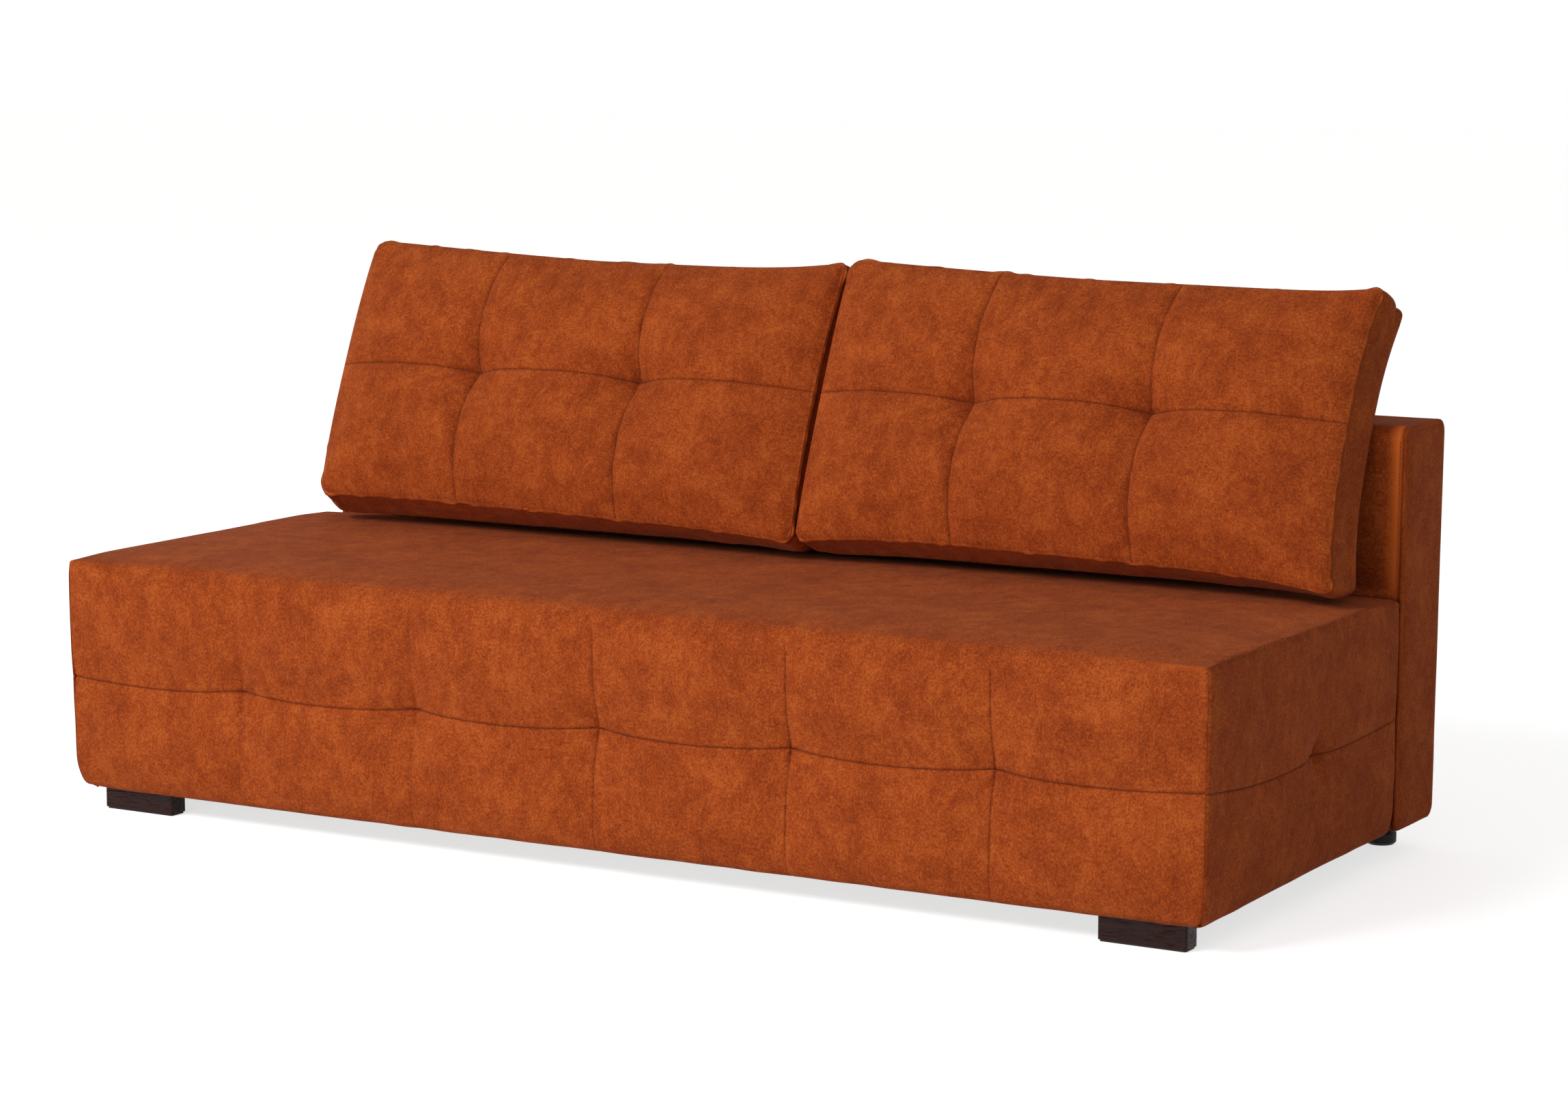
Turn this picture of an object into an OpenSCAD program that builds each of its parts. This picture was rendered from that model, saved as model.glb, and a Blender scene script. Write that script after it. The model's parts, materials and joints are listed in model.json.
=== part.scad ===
// Armless sofa bed. The seat unit rolls forward on a steel base, and the back panel
// lies down behind it, carried by one flat lever at each end.
// X runs along the sofa, the front faces -Y and the floor is Z = 0. Places along the
// depth are measured from the seat's front face, and placed() centres them.

/* [Overall] */
// Length of the sofa along the wall
sofa_length = 2000; // [1800:10:2300]
// Depth of the seat unit from its front face to its rear face
seat_depth = 695; // [680:1:730]
// Height of the top of the seat above the floor
seat_height = 409; // [404:1:430]
// Height of the top of the back panel above the floor
back_height = 655; // [645:1:665]
// Thickness of the back panel
back_thickness = 160; // [154:1:166]
// Height of the lower edges of the upholstery above the floor
ground_gap = 45; // [44:0.5:48]
// Gap between the seat unit and the back panel
seat_back_gap = 3; // [2:0.5:5]
// How far the lowered back panel stays inside the closed sofa's rear plane
rear_margin = 3; // [1:0.5:6]

/* [Seat upholstery] */
// Thickness of the smooth top pad
top_pad_t = 38; // [34:1:42]
// Radius of the rounded upper edges of the top pad
top_edge_r = 30; // [20:1:33]
// Thickness of the foam core under the top pad
foam_t = 71; // [64:1:74]
// Thickness of the quilted front pad
front_pad_t = 27; // [25:0.5:30]
// Thickness of the quilted end pads
side_pad_t = 29; // [26:0.5:32]
// Number of quilted panels along the front
front_columns = 6; // [4:1:7]
// Number of quilted panels across each end
side_columns = 2; // [2:1:3]
// Number of rows of quilted panels
quilt_rows = 2; // [2:1:3]
// Depth of the sewn channels below the crown of each panel
channel_depth = 4; // [3:0.5:6]
// Extra depth of a tuft where two channels cross
tuft_depth = 17; // [8:0.5:18.5]
// Radius over which a tuft draws the fabric in
tuft_r = 34; // [20:1:50]
// How far the outer edges of a pad lie below its crown
pad_edge_drop = 4; // [2:0.5:6]

/* [Boards and frame] */
// Thickness of the chipboard panels
board_t = 16; // [15:0.5:18]
// Height of the seat frame's timber rails
rail_h = 40; // [34:1:44]
// Width of the seat frame's timber rails
rail_w = 45; // [40:1:50]
// Number of cross rails inside the seat frame
cross_rails = 3; // [2:1:4]
// Thickness of the seat's slats
slat_t = 8; // [6:0.5:10]
// Width of one slat
slat_w = 68; // [50:1:80]
// Number of slats
slat_count = 14; // [10:1:16]
// Thickness of the panel that closes the rear of the seat
rear_panel_t = 5; // [3:0.5:8]
// Side of the square glue blocks behind the front board
block_w = 40; // [36:1:44]
// Height of the glue blocks
block_h = 70; // [50:1:90]

/* [Back panel] */
// Wall of the padded back cover
cover_t = 12; // [10:0.5:14]
// Radius of the cover's rounded edges
cover_r = 22; // [14:1:26]
// How much shorter each end of the back panel is than the seat
back_end_inset = 7; // [3:0.5:10]
// Thickness of the foam behind the front of the cover
back_foam_t = 36; // [30:0.5:38]
// Thickness of the elastic webbing
webbing_t = 2; // [1.5:0.5:3]
// Width of one webbing strap
webbing_w = 60; // [40:1:66]
// Number of webbing straps
webbing_count = 5; // [3:1:5]
// Thickness of the back frame's timbers
back_timber_t = 22; // [18:1:24]
// Thickness of the board inside the rear of the cover
back_board_t = 5; // [3:0.5:7]

/* [Base] */
// Distance of the runners' outer faces from the ends of the sofa
runner_in = 60; // [58:0.5:64]
// Width of the steel tubes
tube_w = 30; // [28:0.5:31]
// Height of the steel tubes
tube_h = 20; // [18:0.5:20.5]
// Wall of the steel tubes
tube_wall = 1.5; // [1.2:0.1:2]
// Distance of the runners' front ends behind the front face
runner_front = 80; // [76:1:90]
// Height of the round feet under the base
base_foot_h = 22; // [21:0.5:22.5]
// Diameter of the round feet
base_foot_d = 48; // [40:1:54]
// Distance of the rear feet in front of the closed sofa's rear plane
rear_foot_in = 32; // [28:1:40]
// Distance of the middle cross tube, with its feet, behind the front face
middle_tube_y = 250; // [230:1:320]
// Distance of the middle feet from the ends of the sofa
middle_foot_in = 140; // [120:1:300]
// Distance of the storage box's front wall behind the front face
box_front = 92; // [90:1:110]
// Distance of the storage box's rear face in front of the seat's rear face
box_rear_in = 77; // [75:1:95]
// Clearance between the storage box and what passes over it
box_top_gap = 5; // [4:0.5:8]
// Thickness of the storage box's floor
box_floor_t = 5; // [3:0.5:6]

/* [Fold mechanism] */
// Distance of the hinge behind the front face of the back panel
hinge_in = 60; // [58:0.5:63]
// Height of the hinge above the lower edge of the back panel
hinge_up = 40; // [38:0.5:43]
// Height of the levers' fixed pivot above the floor
pivot_height = 103; // [101:0.5:105]
// Thickness of the levers and of the plates that carry them
plate_t = 5; // [4:0.5:5.5]
// Width of the levers' bars
lever_w = 30; // [26:1:32]
// Radius of the levers' eyes
eye_r = 19; // [17:0.5:20]
// Diameter of the pivot bolts
bolt_d = 12; // [10:0.5:13]
// Radial clearance of the levers on the bolts
pivot_clearance = 0.1; // [0.05:0.01:0.1]
// Thickness of the washers between levers and plates
washer_t = 3; // [2:0.5:4]
// Height of a bolt's head
bolt_head_h = 5; // [4:0.5:6]
// Radius of a bolt's head
bolt_head_r = 10; // [9:0.5:12]

/* [Rollers] */
// Diameter of the seat's rollers
roller_d = 40; // [36:1:42]
// Width of the seat's rollers
roller_w = 24; // [20:0.5:25]
// Diameter of the rollers' axles
axle_d = 10; // [8:0.5:12]
// Distance of the rollers' axles in front of the seat's rear face
roller_y_in = 55; // [50:1:70]
// Thickness of the steel roller brackets
bracket_t = 4; // [3:0.5:5]

/* [Front feet] */
// Length of a front foot along the front
foot_l = 137; // [120:1:150]
// Depth of a front foot
foot_w = 36; // [34:0.5:40]
// Distance of a front foot from the end of the sofa
foot_end_in = 40; // [34:1:50]
// Distance of a front foot behind the front face
foot_front_in = 28; // [27.5:0.5:30]
// Radius of a front foot's upright edges
foot_r = 4; // [2:0.5:8]
// Thickness of the felt glide under a front foot
glide_t = 3; // [2:0.5:4]
// Diameter of the screws in the feet and in the storage box
screw_d = 6; // [5:0.5:7]

/* [Cushions] */
// Width of a loose cushion
cushion_w = 908; // [860:2:920]
// Height of a loose cushion
cushion_h = 466; // [440:2:480]
// Depth of the band around a loose cushion
cushion_band = 98; // [86:1:106]
// How far the front of a cushion swells out past its seams
cushion_crown = 42; // [30:1:48]
// Angle at which the cushions lean back
cushion_tilt = 22.8; // [21:0.2:24.6]
// Gap between the two cushions
cushion_gap = 18; // [10:1:30]
// Distance of that gap's centre from the middle of the sofa
cushion_shift = 49; // [-30:1:50]
// How far a cushion's sides draw in between its corners
cushion_pull = 9; // [4:1:14]
// Number of quilted panels across a cushion
cushion_columns = 3; // [2:1:3]
// Number of rows of quilted panels on a cushion
cushion_rows = 2; // [2:1:3]
// Depth of a cushion's sewn channels
cushion_channel = 9; // [5:0.5:12]
// Extra depth of a cushion's tufts
cushion_tuft = 50; // [30:1:56]

/* [Hidden] */
$fn = 48;

// Sides, as factors on X
LEFT = -1;
RIGHT = 1;
RIGHT_ANGLE = 90;

// Overrun of every cut
over = 1;
// Gap that keeps soft pieces clear of what they rest on
rest_gap = 0.3;
// Gap between a roller and the runner under it
roll_gap = 0.3;
// Radial clearance of bolts and axles in their seats
seat_clearance = 0.05;

// Overall places
end_x = sofa_length / 2;
back_front = seat_depth + seat_back_gap;
overall_depth = back_front + back_thickness;
panel_h = back_height - ground_gap;
open_back_y = overall_depth - rear_margin - panel_h;
seat_travel = back_front - open_back_y;

// Seat unit, from the top down and from the outside in
pad_top = seat_height - top_pad_t;
pad_h = pad_top - ground_gap;
slat_top = pad_top - foam_t;
rail_top = slat_top - slat_t;
frame_z = rail_top - rail_h;
board_x = end_x - side_pad_t;
inner_x = board_x - board_t;
frame_y = front_pad_t + board_t;
frame_rear = seat_depth - rear_panel_t;

// Base, from the floor up and from the outside in
tube_top = base_foot_h + tube_h;
runner_x = end_x - runner_in - tube_w / 2;
tube_in = runner_x - tube_w / 2;
runner_rear = overall_depth - rear_margin;
plate_x = tube_in - plate_t;
lever_x = plate_x - washer_t - plate_t;
head_x = lever_x - bolt_head_h;
// Space between the storage box and the bolts' heads
box_side_gap = 7;
box_x = head_x - box_side_gap;
box_in_x = box_x - board_t;
box_rear = seat_depth - box_rear_in;
box_top = min(frame_z, seat_height - back_thickness) - box_top_gap;
// Distance of the front and rear cross tubes from the box's ends
tube_set_in = 33;
front_tube_y = box_front + tube_set_in;
rear_tube_y = box_rear - tube_set_in;
// Thickness and plug length of the tubes' end caps
cap_t = 2;
cap_plug = 12;
// Radius of the lower edge of the round feet
base_foot_edge = 4;

// Fold mechanism: the hinge on the back panel when closed and when lowered,
// and the fixed pivot, which lies equally far from both
hinge_closed = [back_front + hinge_in, ground_gap + hinge_up];
hinge_open = [open_back_y + hinge_up, seat_height - hinge_in];
pivot_y = ((hinge_closed * hinge_closed - hinge_open * hinge_open) / 2
    - pivot_height * (hinge_closed[1] - hinge_open[1])) / (hinge_closed[0] - hinge_open[0]);
pivot = [pivot_y, pivot_height];
lever_l = norm(hinge_closed - pivot);
lever_closed = atan2(hinge_closed[1] - pivot[1], hinge_closed[0] - pivot[0]);
lever_open = atan2(hinge_open[1] - pivot[1], hinge_open[0] - pivot[0]);
lever_turn = lever_open - lever_closed;
// Direction from the hinge along the lowered lever, seen from the back panel
lever_rise = lever_open - RIGHT_ANGLE;
// Radius of the rounded tops of the pivot and hinge plates
plate_r = 22;
// Half the width of a pivot plate where it is welded to its runner
plate_foot = 31;
// Height of a hinge plate above the hinge, and its width
hinge_plate_up = 105;
hinge_plate_w = 60;
// Depth and width of the pressed groove that stiffens a lever
groove_depth = 1.2;
groove_w = 10;
// Outer radius of the levers' washers
washer_r = 13;
// Length and height of the nuts on the base's pivot bolts
nut_h = 6;
nut_r = 9;
// Clearance around a lever in the back panel's slots
slot_gap = 5;
bolt_r = bolt_d / 2;

// Back panel
back_x = end_x - back_end_inset;
cavity_x = back_x - cover_t;
cavity_front = back_front + cover_t;
cavity_rear = overall_depth - cover_t;
cavity_low = ground_gap + cover_t;
cavity_high = back_height - cover_t;
foam_rear = cavity_front + back_foam_t;
timber_front = foam_rear + webbing_t;
timber_rear = cavity_rear - back_board_t;
// Slots for the levers, from the bolts' heads to the hinge posts
slot_in = head_x - slot_gap;
slot_out = tube_in;
slot_front_top = hinge_closed[1] + eye_r + slot_gap;
slot_rear_top = hinge_closed[1] + (overall_depth - hinge_closed[0]) * tan(lever_rise)
    + lever_w / 2 / cos(lever_rise) + slot_gap;
// Places of the inner studs as shares of the back's half length
stud_shares = [0.3];

// Rollers
roller_r = roller_d / 2;
roller_z = tube_top + roll_gap + roller_r;
roller_y = seat_depth - roller_y_in;
// Distance of a roller's inner face from the runner's inner face
roller_set_in = 6;
roller_x = tube_in + roller_set_in;
// Thickness and radius of the clip that holds a roller on its axle
clip_t = 3;
clip_r = 8;
// Space between a roller and its clip or collar
clip_gap = 0.5;
// Half width, height and lower radius of a roller bracket
bracket_half = 26;
bracket_h = 95;
bracket_r = 14;
bracket_x = inner_x - bracket_t;
// Rounding of the roller's tread
tread_r = 3;

// Screws
screw_r = screw_d / 2;
screw_head_r = 5.5;
screw_head_h = 4;
// Depth of the wood above a foot's screw head, and the screw's length
foot_screw_sink = 8;
foot_screw_l = 62;
// How far a foot's outer screw stands from its end, and the inner one
foot_screw_outer = 22;
foot_screw_inner = 108;
box_screw_l = 45;
box_screw_sink = 3;
// Distance of the box's screws from its upper and lower edges
box_screw_in = 40;

// Buffers that carry the lowered back
buffer_r = 7;
buffer_shares = [0.4, 0.92];

// Shapes of the quilted pads: places of the grid lines across one panel
panel_shares = [0, 0.07, 0.26, 0.5, 0.74, 0.93];
// Power of the crown's curve across a panel
crown_power = 4;
// Height of the horizontal seam as a share of a pad's height
seam_height_share = 0.55;
// How far the lower edge of a quilted pad tucks in
tuck_in = 13;
// Share of a pad's height over which its lower edge tucks in
tuck_share = 0.15;

// Shapes of the cushions
cushion_shares = [0, 0.07, 0.25, 0.5, 0.75, 0.93];
// Radius over which a cushion's tuft draws in
cushion_tuft_r = 42;
// How far the rear of a cushion swells out
cushion_rear_crown = 7;
// How far the band swells out between its seams, and how far a corner stands up
band_swell = 4;
ear = 5;
// Powers of the curves of a cushion's whole crown, of its rear and of its standing corners
whole_power = 2.6;
rear_power = 6;
ear_power = 8;

module placed() {
    translate([0, -overall_depth / 2, 0]) children();
}

// A block from one corner to the other
module block(low, high) {
    translate(low) cube(high - low);
}

// A block between two distances from the middle of the sofa, on one side
module side_block(side, x_in, x_out, y0, y1, z0, z1) {
    x_low = side == LEFT ? -x_out : x_in;
    x_high = side == LEFT ? -x_in : x_out;
    block([x_low, y0, z0], [x_high, y1, z1]);
}

// Turns a flat shape drawn in depth and height into a plate at one side
module side_plate(side, x_in, x_out) {
    x_low = side == LEFT ? -x_out : x_in;
    translate([x_low, 0, 0])
        rotate([RIGHT_ANGLE, 0, RIGHT_ANGLE])
            linear_extrude(height = x_out - x_in) children();
}

// A round bar along X between two distances from the middle, on one side
module side_bar(side, x_in, x_out, at, r) {
    side_plate(side, x_in, x_out) translate(at) circle(r = r);
}

// A hexagonal bar along X, on one side
module side_hex(side, x_in, x_out, at, r) {
    side_plate(side, x_in, x_out) translate(at) circle(r = r, $fn = 6);
}

// A faceted ball that reaches its full radius along every axis
module ball(r, facets) {
    half_facet = RIGHT_ANGLE * 2 / facets;
    sphere(r = r / cos(half_facet), $fn = facets);
}

module rounded_rect(w, h, r) {
    union() {
        translate([r, 0]) square([w - 2 * r, h]);
        translate([0, r]) square([w, h - 2 * r]);
        for (x = [r, w - r], y = [r, h - r]) translate([x, y]) circle(r = r);
    }
}

// Base

module runner(side) {
    color("dimgray") placed() difference() {
        side_block(side, tube_in, tube_in + tube_w, runner_front, runner_rear,
            base_foot_h, tube_top);
        side_block(side, tube_in + tube_wall, tube_in + tube_w - tube_wall,
            runner_front - over, runner_rear + over,
            base_foot_h + tube_wall, tube_top - tube_wall);
    }
}

module cross_tube(y) {
    color("dimgray") placed() difference() {
        block([-tube_in, y - tube_w / 2, base_foot_h], [tube_in, y + tube_w / 2, tube_top]);
        block([-tube_in - over, y - tube_w / 2 + tube_wall, base_foot_h + tube_wall],
            [tube_in + over, y + tube_w / 2 - tube_wall, tube_top - tube_wall]);
    }
}

module tube_caps() {
    plug_in = tube_wall + rest_gap;
    color("black") placed() for (side = [LEFT, RIGHT], front = [true, false]) {
        y0 = front ? runner_front - cap_t : runner_rear;
        p0 = front ? runner_front : runner_rear - cap_plug;
        union() {
            side_block(side, tube_in, tube_in + tube_w, y0, y0 + cap_t, base_foot_h, tube_top);
            side_block(side, tube_in + plug_in, tube_in + tube_w - plug_in, p0, p0 + cap_plug,
                base_foot_h + plug_in, tube_top - plug_in);
        }
    }
}

module base_foot() {
    r = base_foot_d / 2;
    rotate_extrude() polygon([
        [0, 0], [r - base_foot_edge, 0], [r, base_foot_edge],
        [r, base_foot_h - base_foot_edge], [r - base_foot_edge, base_foot_h], [0, base_foot_h]
    ]);
}

module base_feet() {
    color("black") placed() for (side = [LEFT, RIGHT]) {
        translate([side * runner_x, overall_depth - rear_foot_in, 0]) base_foot();
        translate([side * (end_x - middle_foot_in), middle_tube_y, 0]) base_foot();
    }
}

module box_floor() {
    color("tan") placed() block([-box_in_x, box_front + board_t, tube_top],
        [box_in_x, box_rear - board_t, tube_top + box_floor_t]);
}

// Places of the box's screws, as depth and height
box_screw_places = [
    for (y = [box_front + board_t / 2, box_rear - board_t / 2],
        z = [tube_top + box_screw_in, box_top - box_screw_in]) [y, z]
];

module box_screw_holes(side) {
    gap = seat_clearance;
    for (at = box_screw_places) {
        side_bar(side, box_x - box_screw_l - over, box_x + over, at, screw_r + gap);
        side_bar(side, box_x - box_screw_sink - gap, box_x + over, at, screw_head_r + gap);
    }
}

module box_end(side) {
    color("tan") placed() difference() {
        side_block(side, box_in_x, box_x, box_front, box_rear, tube_top, box_top);
        box_screw_holes(side);
    }
}

module box_wall(y) {
    color("tan") placed() difference() {
        block([-box_in_x, y, tube_top], [box_in_x, y + board_t, box_top]);
        box_screw_holes(LEFT);
        box_screw_holes(RIGHT);
    }
}

module box_screws() {
    color("silver") placed() for (side = [LEFT, RIGHT], at = box_screw_places) union() {
        side_bar(side, box_x - box_screw_l, box_x - over, at, screw_r);
        side_bar(side, box_x - box_screw_sink, box_x, at, screw_head_r);
    }
}

module rest_buffers() {
    x = box_x - board_t / 2;
    color("black") placed() for (side = [LEFT, RIGHT], share = buffer_shares)
        translate([side * x, box_front + (box_rear - box_front) * share, box_top])
            cylinder(r = buffer_r, h = box_top_gap - rest_gap);
}

module pivot_plate(side) {
    color("dimgray") placed() difference() {
        side_plate(side, plate_x, tube_in) union() {
            translate([pivot[0] - plate_foot, base_foot_h])
                square([2 * plate_foot, tube_h + plate_foot]);
            translate([pivot[0] - plate_r, tube_top])
                square([2 * plate_r, pivot[1] - tube_top]);
            translate(pivot) circle(r = plate_r);
        }
        side_bar(side, plate_x - over, tube_in + over, pivot, bolt_r + seat_clearance);
    }
}

module base_pivot_bolts() {
    gap = seat_clearance;
    color("silver") placed() for (side = [LEFT, RIGHT]) {
        union() {
            side_hex(side, head_x, lever_x, pivot, bolt_head_r);
            side_bar(side, lever_x - over, tube_in + nut_h, pivot, bolt_r);
        }
        difference() {
            side_hex(side, tube_in, tube_in + nut_h, pivot, nut_r);
            side_bar(side, tube_in - over, tube_in + nut_h + over, pivot, bolt_r + gap);
        }
    }
}

// Levers

module lever(side) {
    color("slategray") placed() difference() {
        side_plate(side, lever_x, lever_x + plate_t)
            translate(pivot) rotate(lever_closed) union() {
                circle(r = eye_r);
                translate([lever_l, 0]) circle(r = eye_r);
                translate([0, -lever_w / 2]) square([lever_l, lever_w]);
            }
        for (at = [pivot, hinge_closed])
            side_bar(side, lever_x - over, lever_x + plate_t + over, at,
                bolt_r + pivot_clearance);
        side_plate(side, lever_x - over, lever_x + groove_depth)
            translate(pivot) rotate(lever_closed)
                translate([2 * eye_r, -groove_w / 2])
                    rounded_rect(lever_l - 4 * eye_r, groove_w, groove_w / 2 - seat_clearance);
    }
}

module lever_washers() {
    x = lever_x + plate_t;
    gap = seat_clearance;
    color("white") placed() for (side = [LEFT, RIGHT], at = [pivot, hinge_closed])
        difference() {
            side_bar(side, x + gap, x + washer_t - gap, at, washer_r);
            side_bar(side, x - over, x + washer_t + over, at, bolt_r + pivot_clearance);
        }
}

// Seat unit

module seat_rail(y) {
    color("burlywood") placed() block([-inner_x, y, frame_z], [inner_x, y + rail_w, rail_top]);
}

module seat_side_rail(side) {
    color("burlywood") placed() side_block(side, inner_x - rail_w, inner_x,
        frame_y + rail_w, frame_rear - rail_w, frame_z, rail_top);
}

module seat_cross_rails() {
    pitch = 2 * (inner_x - rail_w) / (cross_rails + 1);
    color("burlywood") placed() for (i = [1 : cross_rails]) {
        x = rail_w - inner_x + i * pitch;
        block([x - rail_w / 2, frame_y + rail_w, frame_z],
            [x + rail_w / 2, frame_rear - rail_w, rail_top]);
    }
}

module seat_slats() {
    pitch = 2 * inner_x / slat_count;
    color("wheat") placed() for (i = [0 : slat_count - 1])
        translate([(i + 1 / 2) * pitch - inner_x - slat_w / 2, frame_y, rail_top])
            linear_extrude(height = slat_t)
                rounded_rect(slat_w, frame_rear - frame_y, slat_t);
}

module seat_foam() {
    color("khaki") placed() block([-inner_x, frame_y, slat_top], [inner_x, frame_rear, pad_top]);
}

module seat_top_pad() {
    r = top_edge_r;
    color("sienna") placed() intersection() {
        hull() for (x = [r - end_x, end_x - r], y = [r, seat_depth - r])
            translate([x, y, seat_height - r]) ball(r, 32);
        block([-end_x - over, -over, pad_top],
            [end_x + over, seat_depth + over, seat_height + over]);
    }
}

// Places of a front foot's screws, from the middle of the sofa and from the front
foot_screw_places = [
    [end_x - foot_end_in - foot_screw_outer, foot_front_in + foot_w * 2 / 3],
    [end_x - foot_end_in - foot_screw_inner, front_pad_t + board_t / 2]
];

module foot_screw_holes(z0) {
    for (side = [LEFT, RIGHT], at = foot_screw_places)
        translate([side * at[0], at[1], z0])
            cylinder(r = screw_r + seat_clearance, h = glide_t + foot_screw_l + over - z0);
}

module front_board() {
    color("tan") placed() difference() {
        block([-board_x, front_pad_t, ground_gap], [board_x, frame_y, pad_top]);
        foot_screw_holes(ground_gap - over);
    }
}

module side_board(side) {
    color("tan") placed()
        side_block(side, inner_x, board_x, frame_y, frame_rear, ground_gap, pad_top);
}

module seat_rear_panel() {
    color("tan") placed() block([-board_x, frame_rear, frame_z], [board_x, seat_depth, pad_top]);
}

module corner_blocks() {
    color("burlywood") placed() difference() {
        for (side = [LEFT, RIGHT])
            side_block(side, inner_x - block_w, inner_x, frame_y, frame_y + block_w,
                ground_gap, ground_gap + block_h);
        foot_screw_holes(ground_gap - over);
    }
}

module front_foot(side) {
    x0 = side == LEFT ? foot_end_in - end_x : end_x - foot_end_in - foot_l;
    color([0.2, 0.13, 0.1]) placed() difference() {
        translate([x0, foot_front_in, glide_t])
            linear_extrude(height = ground_gap - glide_t) rounded_rect(foot_l, foot_w, foot_r);
        foot_screw_holes(glide_t - over);
        for (at = foot_screw_places)
            translate([side * at[0], at[1], glide_t - over])
                cylinder(r = screw_head_r + seat_clearance, h = foot_screw_sink + over);
    }
}

module foot_glides() {
    color("dimgray") placed() for (x0 = [foot_end_in - end_x, end_x - foot_end_in - foot_l])
        translate([x0 + foot_r / 2, foot_front_in + foot_r / 2, 0])
            linear_extrude(height = glide_t)
                rounded_rect(foot_l - foot_r, foot_w - foot_r, foot_r);
}

module foot_screws() {
    color("silver") placed() for (side = [LEFT, RIGHT], at = foot_screw_places)
        translate([side * at[0], at[1], glide_t + foot_screw_sink - screw_head_h]) union() {
            cylinder(r = screw_head_r, h = screw_head_h);
            cylinder(r = screw_r, h = foot_screw_l - foot_screw_sink + screw_head_h - over);
        }
}

module roller_bracket(side) {
    low = roller_z - bracket_r;
    color("dimgray") placed() difference() {
        side_plate(side, bracket_x, inner_x) union() {
            translate([roller_y - bracket_half, low + bracket_half])
                square([2 * bracket_half, bracket_h - bracket_half]);
            polygon([
                [roller_y - bracket_half, low + bracket_half], [roller_y - bracket_r, roller_z],
                [roller_y + bracket_r, roller_z], [roller_y + bracket_half, low + bracket_half]
            ]);
            translate([roller_y, roller_z]) circle(r = bracket_r);
        }
        side_bar(side, bracket_x - over, inner_x + over, [roller_y, roller_z],
            axle_d / 2 + seat_clearance);
    }
}

module roller_axles() {
    at = [roller_y, roller_z];
    color("silver") placed() for (side = [LEFT, RIGHT]) union() {
        side_bar(side, roller_x - clip_gap - clip_t, inner_x, at, axle_d / 2);
        side_bar(side, roller_x - clip_gap - clip_t, roller_x - clip_gap, at, clip_r);
        side_bar(side, roller_x + roller_w + clip_gap, bracket_x - seat_clearance, at, clip_r);
    }
}

module roller(side) {
    x = side == LEFT ? -roller_x - roller_w : roller_x;
    bore = axle_d / 2 + seat_clearance;
    // Radius of the hub and depth of the hollow between hub and rim
    hub_r = roller_r / 2;
    hollow = roller_w / 5;
    rim_r = roller_r - hollow;
    color("whitesmoke") placed() translate([x, roller_y, roller_z]) rotate([0, RIGHT_ANGLE, 0])
        rotate_extrude() polygon([
            [bore, 0], [hub_r, 0], [hub_r, hollow], [rim_r, hollow], [rim_r, 0],
            [roller_r - tread_r, 0], [roller_r, tread_r], [roller_r, roller_w - tread_r],
            [roller_r - tread_r, roller_w], [rim_r, roller_w], [rim_r, roller_w - hollow],
            [hub_r, roller_w - hollow], [hub_r, roller_w], [bore, roller_w]
        ]);
}

// Quilted pads

// Grid lines along one direction: places as shares of the whole, from the seams' shares
function grid_lines(seams, shares) = concat([
    for (i = [0 : len(seams) - 2], s = shares) seams[i] + (seams[i + 1] - seams[i]) * s
], [seams[len(seams) - 1]]);

// Even seams, and rows with the one seam at its own height
function even_seams(count) = [for (i = [0 : count]) i / count];
function row_seams(count, share) = count == 2 ? [0, share, 1] : even_seams(count);

// The panel that a share lies in, and the nearer of its two seams
function panel_of(s, seams, i = 0) =
    i >= len(seams) - 2 || s < seams[i + 1] ? i : panel_of(s, seams, i + 1);
function is_outer(s, seams, i) =
    (i == 0 && s < (seams[0] + seams[1]) / 2)
    || (i == len(seams) - 2 && s > (seams[i] + seams[i + 1]) / 2);

// Crown across a panel, from 0 at its seams to 1 in its middle
function panel_crown(s, seams, power) =
    let (i = panel_of(s, seams), t = (s - seams[i]) / (seams[i + 1] - seams[i]))
    1 - pow(abs(2 * t - 1), power);
function channel_drop(s, seams, outer, inner) =
    (1 - panel_crown(s, seams, crown_power))
    * (is_outer(s, seams, panel_of(s, seams)) ? outer : inner);

// Distance from a point to the nearest crossing of inner seams
function tuft_distance(x, z, xs, zs, w, h) = min([
    for (i = [1 : len(xs) - 2], j = [1 : len(zs) - 2]) norm([x - xs[i] * w, z - zs[j] * h])
]);

// Depth below the crown of a quilted pad at one point
function quilt_depth(sx, sz, xs, zs, w, h) =
    norm([channel_drop(sx, xs, pad_edge_drop, channel_depth),
        channel_drop(sz, zs, pad_edge_drop, channel_depth)])
    + tuft_depth * exp(-pow(tuft_distance(sx * w, sz * h, xs, zs, w, h) / tuft_r, 2))
    + tuck_in * pow(max(0, 1 - sz / tuck_share), 2);

// Index pairs around the rim of a grid, counterclockwise from the front
function rim(nx, nz) = concat(
    [for (i = [0 : nx - 2]) [i, 0]],
    [for (j = [0 : nz - 2]) [nx - 1, j]],
    [for (i = [nx - 1 : -1 : 1]) [i, nz - 1]],
    [for (j = [nz - 1 : -1 : 1]) [0, j]]
);

// Faces of a grid seen from the front, and the same grid seen from behind
function front_faces(nx, nz) = [
    for (j = [0 : nz - 2], i = [0 : nx - 2], k = [0, 1])
        let (a = j * nx + i, b = a + 1, c = b + nx, d = a + nx)
        k == 0 ? [a, d, c] : [a, c, b]
];
function rear_faces(nx, nz, start) = [
    for (f = front_faces(nx, nz)) [start + f[0], start + f[2], start + f[1]]
];

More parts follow.
